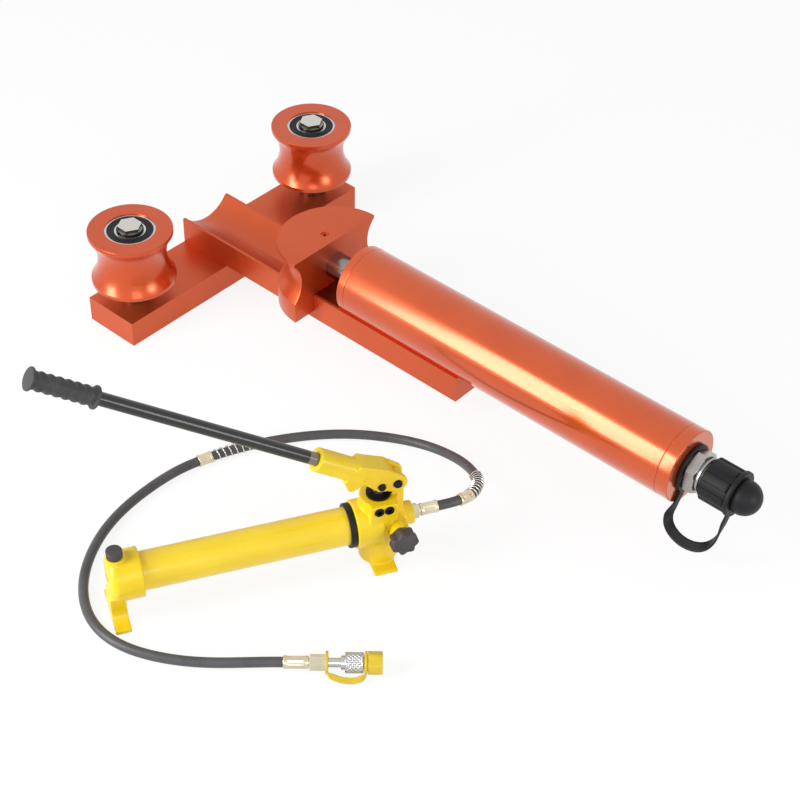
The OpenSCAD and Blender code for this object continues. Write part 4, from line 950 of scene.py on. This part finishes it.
crisp(add_piece("plated_coupler", [head_coupler()], "frame", nickel, ["male_coupler"], 25))
add_piece("rubber_dust_cap", [dust_cap()], "dust_cap", black_rubber, ["dust_cap"])
fuse(add_piece("rubber_strap",
               [loop_ring(ram_axis, head_end + TOUCH, head_end + RING_THICK, NECK_RADIUS + RUBBER_ROOM,
                          RING_OUTER, RING_EASE),
                loop_ring(ram_axis, skirt_end + RUBBER_ROOM, dome_start - RUBBER_ROOM,
                          SHANK_RADIUS + RUBBER_ROOM, CAP_RING_OUTER, RING_EASE), strap_band()],
               "frame", black_rubber, ["cap_strap"]), STRAP_VOXEL, 4)


# Lever: rubber grip and tube
LEVER_LENGTH = 0.425
GRIP_LENGTH = 0.072
GRIP_RADIUS = 0.0095
GRIP_FLANGE = 0.012
GRIP_FLANGE_THICK = 0.003
GRIP_BUMPS = 7
GRIP_BUMP = 0.0006
GRIP_FRONT = 0.59
GRIP_EASE = 0.0016
GRIP_FOOT_EASE = 0.001
TUBE_RADIUS = 0.007


def lever_grip():
    """A closed-ended sleeve between two flanges: its radius rises and falls in rings that weave along it."""
    start, end = LEVER_LENGTH - GRIP_LENGTH, LEVER_LENGTH
    front, back, bore = start + GRIP_FLANGE_THICK, end - GRIP_FLANGE_THICK, TUBE_RADIUS + TOUCH
    outline = rounded([(back, 0), (back, bore), (start, bore, 0.0006), (start, GRIP_FLANGE, GRIP_EASE),
                       (front, GRIP_FLANGE, GRIP_EASE), (front, GRIP_RADIUS, GRIP_FOOT_EASE),
                       (back, GRIP_RADIUS, GRIP_FOOT_EASE), (back, GRIP_FLANGE, GRIP_EASE),
                       (end, GRIP_FLANGE, 0.0022), (end, 0)], 6)

    def bumps(distance, radius, angle):
        share = (distance - front) / (back - front)
        ends = np.clip(np.minimum(share, 1 - share) * 20, 0, 1)
        weave = math.pi / 2 * (1 + np.cos(2 * (angle - GRIP_FRONT)))
        wave = np.cos(FULL_TURN * GRIP_BUMPS * share + weave)
        on_sleeve = (np.abs(radius - GRIP_RADIUS) < 0.0006) & (distance < back + HAIR)
        return radius + GRIP_BUMP * ends * wave * on_sleeve
    return turned(straight(lever_line), finely(outline, 0.0008), 120, bumps)


add_piece("rubber_grip", [lever_grip()], "lever", grip_rubber, ["lever_grip"])


# Release knob, filler cap and tank ring
KNOB_RADIUS = 0.0155
KNOB_THICK = 0.014
KNOB_LOBES = 7
KNOB_WAVE = 0.00155
KNOB_BACK = 0.0075
KNOB_HOLE = 0.00502
KNOB_HOLE_DEPTH = 0.009
KNOB_DISH = 0.0006
KNOB_PLAIN = 0.0055
FILLER_RADIUS = 0.00875
FILLER_HEIGHT = 0.009
FILLER_TEETH = 40
FILLER_TOOTH = 0.0003
FILLER_STEM = 0.0045
FILLER_STEM_LENGTH = 0.009


def release_knob():
    """A star knob: the radius waves round the rim with round edges, and a shallow dish lies in its face."""
    back, face = -KNOB_BACK, KNOB_THICK - KNOB_BACK
    floor = back + KNOB_HOLE_DEPTH
    outline = rounded([(floor, 0), (floor, KNOB_HOLE), (back, KNOB_HOLE), (back, KNOB_RADIUS, 0.0022),
                       (face, KNOB_RADIUS, 0.0036), (face, 0.009, 0.001), (face - KNOB_DISH, 0.0075, 0.001),
                       (face - KNOB_DISH, 0)], 7)

    def lobes(distance, radius, angle):
        out = np.clip((radius - KNOB_PLAIN) / (KNOB_RADIUS - KNOB_PLAIN), 0, 1)
        return radius - KNOB_WAVE * out * (1 - np.cos(KNOB_LOBES * angle))
    return turned(straight(knob_line), finely(outline, 0.001), 168, lobes)


def filler_cap():
    """A stem and a finely toothed cap with a round top edge."""
    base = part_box("filler_cap")[1].z - FILLER_HEIGHT - filler_line[0][2]
    top = base + FILLER_HEIGHT
    outline = rounded([(base - FILLER_STEM_LENGTH, 0), (base - FILLER_STEM_LENGTH, FILLER_STEM, 0.0006),
                       (base, FILLER_STEM), (base, FILLER_RADIUS - 0.0004, 0.0006), (top, FILLER_RADIUS, 0.0012),
                       (top, 0)], 6)

    def teeth(distance, radius, angle):
        on_wall = (distance > base + 0.0012) & (distance < top - 0.0014) & (radius > FILLER_STEM + 0.001)
        return radius - FILLER_TOOTH * (0.5 + 0.5 * np.cos(FILLER_TEETH * angle)) * on_wall
    return turned(straight(filler_line), finely(outline, 0.0007), FILLER_TEETH * 6, teeth)


add_piece("star_knob", [release_knob()], "release_knob", knob_plastic, ["release_knob"])
add_piece("toothed_filler_cap", [filler_cap()], "filler_cap", knob_plastic, ["filler_cap"])

TANK_HEIGHT = 0.054
RING_BORE = 0.02102
RING_RADIUS = 0.0246
RING_START = 0.2496
RING_WIDTH = 0.007
tank_line = moved(pump_line, [0, 0, TANK_HEIGHT])
add_piece("tank_clamp_ring",
          [loop_ring(straight(tank_line), RING_START, RING_START + RING_WIDTH, RING_BORE, RING_RADIUS, 0.0012)],
          "frame", black_rubber, ["tank_seal_ring"])


# Castings: the construction's solids with eased corners, as they come from a mould
BORE_REACH = 0.0003
BORE_SLACK = 0.0009


def widen_bore(work, node):
    """Moves the wall of an upright bore out from the round node that runs in it, and the bore's floor down."""
    points = np.array([vert.co for vert in nodes[node].data.vertices])
    low = points[points[:, 2] < points[:, 2].min() + 1e-5]
    centre = (low.min(axis=0) + low.max(axis=0)) / 2
    radius = np.linalg.norm(low[:, :2] - centre[:2], axis=1).max()
    for vert in work.verts:
        out = np.array(vert.co[:2]) - centre[:2]
        reach = np.linalg.norm(out)
        if abs(reach - radius) < BORE_REACH:
            vert.co.xy = centre[:2] + out * (1 + BORE_SLACK / reach)
            vert.co.z -= BORE_SLACK * (vert.co.z < centre[2])


def casting(node, body, finish, runs_in=None, voxel=0.0009, passes=6):
    """A copy of a node's solid, its doubles merged, on one even skin whose corners are eased.

    The bore of a node that runs in it is opened first, so that the eased skin stays clear of that node.
    """
    mesh = nodes[node].data.copy()
    work = bmesh.new()
    work.from_mesh(mesh)
    bmesh.ops.remove_doubles(work, verts=work.verts, dist=1e-6)
    if runs_in:
        widen_bore(work, runs_in)
    work.to_mesh(mesh)
    work.free()
    piece = settle(bpy.data.objects.new("cast_" + node, mesh), body, finish, [node])
    return fuse(piece, voxel, passes)


casting("pump_block", "frame", yellow_cast, "plunger")
casting("rear_bracket", "frame", yellow_cast)
casting("lever_head", "lever", yellow_cast)


# Spring inside, wound at one length about the rod
SPRING_WIRE = 0.005
SPRING_TURNS = 18


def return_spring():
    """A round wire wound about the rod, from the gland to the piston."""
    low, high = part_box("return_spring")
    start, end = low.x + SPRING_WIRE / 2, high.x - SPRING_WIRE / 2
    radius = (high.y - low.y) / 2 - SPRING_WIRE / 2
    spring = add_piece("wound_return_spring",
                       [wound(ram_axis, start, end - start, radius, SPRING_TURNS, SPRING_WIRE)],
                       "frame", plain_steel, ["return_spring"])
    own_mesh(spring)


return_spring()


# Finishes of the construction's own pieces
node_finishes = {
    "cross_bar": orange_bar, "base_beam": orange_beam, "bending_shoe": orange_shoe, "ram_rod": chromed,
    "plunger": chromed, "lever_tube": black_enamel, "tank_tube": yellow_tank, "coupler_body": bright_plate,
    "hose_adapter": zinc_yellow, "hose_end_hex": zinc_yellow, "roller_pins": pin_steel, "roller_spacers": pin_steel,
    "shoe_set_screw": orange_bar, "piston_seal": black_rubber, "rod_seal": black_rubber,
}
slot_finishes = {"bearing_steel": bearing_steel, "black_screws": black_oxide, "plain_steel": plain_steel}
for part in record["subparts"]:
    chosen = node_finishes.get(part["node"], slot_finishes.get(part["material_slot"]))
    if chosen is not None:
        nodes[part["node"]].data.materials.clear()
        nodes[part["node"]].data.materials.append(chosen)


# Broken edges on the construction's own orange blocks
BLOCK_EDGE = 0.0008
WELD_REACH = 0.00001
BLOCK_FLAT = math.radians(0.5)
BLOCK_CORNER = math.radians(35)
for name in ("cross_bar", "base_beam", "bending_shoe"):
    nodes[name].modifiers.new("joined", "WELD").merge_threshold = WELD_REACH
    flat = nodes[name].modifiers.new("flat", "DECIMATE")
    flat.decimate_type = "DISSOLVE"
    flat.angle_limit = BLOCK_FLAT
    edge = nodes[name].modifiers.new("edge", "BEVEL")
    edge.width = BLOCK_EDGE
    edge.segments = 2
    edge.limit_method = "ANGLE"
    edge.angle_limit = BLOCK_CORNER


# Floor, light and background
FLOOR_HALF = 6
FLOOR_HEIGHT = -0.0004
FLOOR_GREY = 0.86
FLOOR_WHITE_SHARE = 0.82
FLOOR_WHITE = 1.06
WORLD_LIGHT = 0.44
WORLD_WHITE = 1.0
WHITE = (1, 1, 1, 1)


def seen_by(owner, *kinds):
    """1 for rays of any of these kinds, and 0 for the rest."""
    path = add_node(owner, "ShaderNodeLightPath")
    first, *others = [path.outputs["Is " + kind + " Ray"] for kind in kinds]
    for other in others:
        first = add_node(owner, "ShaderNodeMath", {0: first, 1: other}, operation="MAXIMUM").outputs[0]
    return first


def make_floor():
    """A wide pale floor: white as seen, with the object's shadow kept, and plain diffuse to other light."""
    mesh = bpy.data.meshes.new("floor")
    mesh.from_pydata([(x * FLOOR_HALF, y * FLOOR_HALF, FLOOR_HEIGHT) for x, y in [(-1, -1), (1, -1), (1, 1), (-1, 1)]],
                     [], [(0, 1, 2, 3)])
    floor = bpy.data.objects.new("floor", mesh)
    bpy.context.scene.collection.objects.link(floor)
    finish = bpy.data.materials.new("pale_floor")
    finish.use_nodes = True
    tree = finish.node_tree
    tree.nodes.clear()
    seen = seen_by(finish, "Camera", "Glossy")
    share = add_node(finish, "ShaderNodeMath", {0: seen, 1: FLOOR_WHITE_SHARE}, operation="MULTIPLY")
    pale = add_node(finish, "ShaderNodeBsdfDiffuse", {"Color": (FLOOR_GREY, FLOOR_GREY, FLOOR_GREY, 1)})
    white = add_node(finish, "ShaderNodeEmission", {"Color": WHITE, "Strength": FLOOR_WHITE})
    mix = add_node(finish, "ShaderNodeMixShader", {0: share.outputs[0], 1: pale.outputs[0], 2: white.outputs[0]})
    out = add_node(finish, "ShaderNodeOutputMaterial")
    tree.links.new(mix.outputs[0], out.inputs["Surface"])
    floor.data.materials.append(finish)


def make_background():
    """A white surround to the eye and in reflections, and a softer grey light from all round."""
    world = bpy.data.worlds.new("studio")
    bpy.context.scene.world = world
    world.use_nodes = True
    tree = world.node_tree
    seen = seen_by(world, "Camera", "Glossy", "Transmission")
    strength = add_node(world, "ShaderNodeMapRange", {"Value": seen, "To Min": WORLD_LIGHT, "To Max": WORLD_WHITE})
    shade = tree.nodes["Background"]
    shade.inputs["Color"].default_value = WHITE
    tree.links.new(strength.outputs["Result"], shade.inputs["Strength"])


def make_lamp(name, spot, aim, wide, high, power):
    """A soft oblong lamp that faces a point and isn't seen itself."""
    lamp = bpy.data.objects.new(name, bpy.data.lights.new(name, "AREA"))
    lamp.data.shape = "RECTANGLE"
    lamp.data.size = wide
    lamp.data.size_y = high
    lamp.data.energy = power
    back = np.array(spot, float) - np.array(aim, float)
    back /= np.linalg.norm(back)
    right = np.cross(UP, back)
    right /= np.linalg.norm(right)
    up = np.cross(back, right)
    lamp.visible_camera = False
    stand(lamp, right, up, back, spot)


make_floor()
make_background()
make_lamp("left_softbox", spot=(-0.42, -1.9, 0.973), aim=(0.52, 0, 0.1), wide=0.8, high=1.8, power=39)
make_lamp("right_softbox", spot=(1.8, -1.5, 1.1), aim=(0.42, -0.35, 0.1), wide=0.8, high=0.8, power=6)
make_lamp("edge_softbox", spot=(2.3, 0, 0.55), aim=(0.404, -0.416, 0.243), wide=0.7, high=0.6, power=9)
bpy.context.scene.view_settings.view_transform = "Standard"
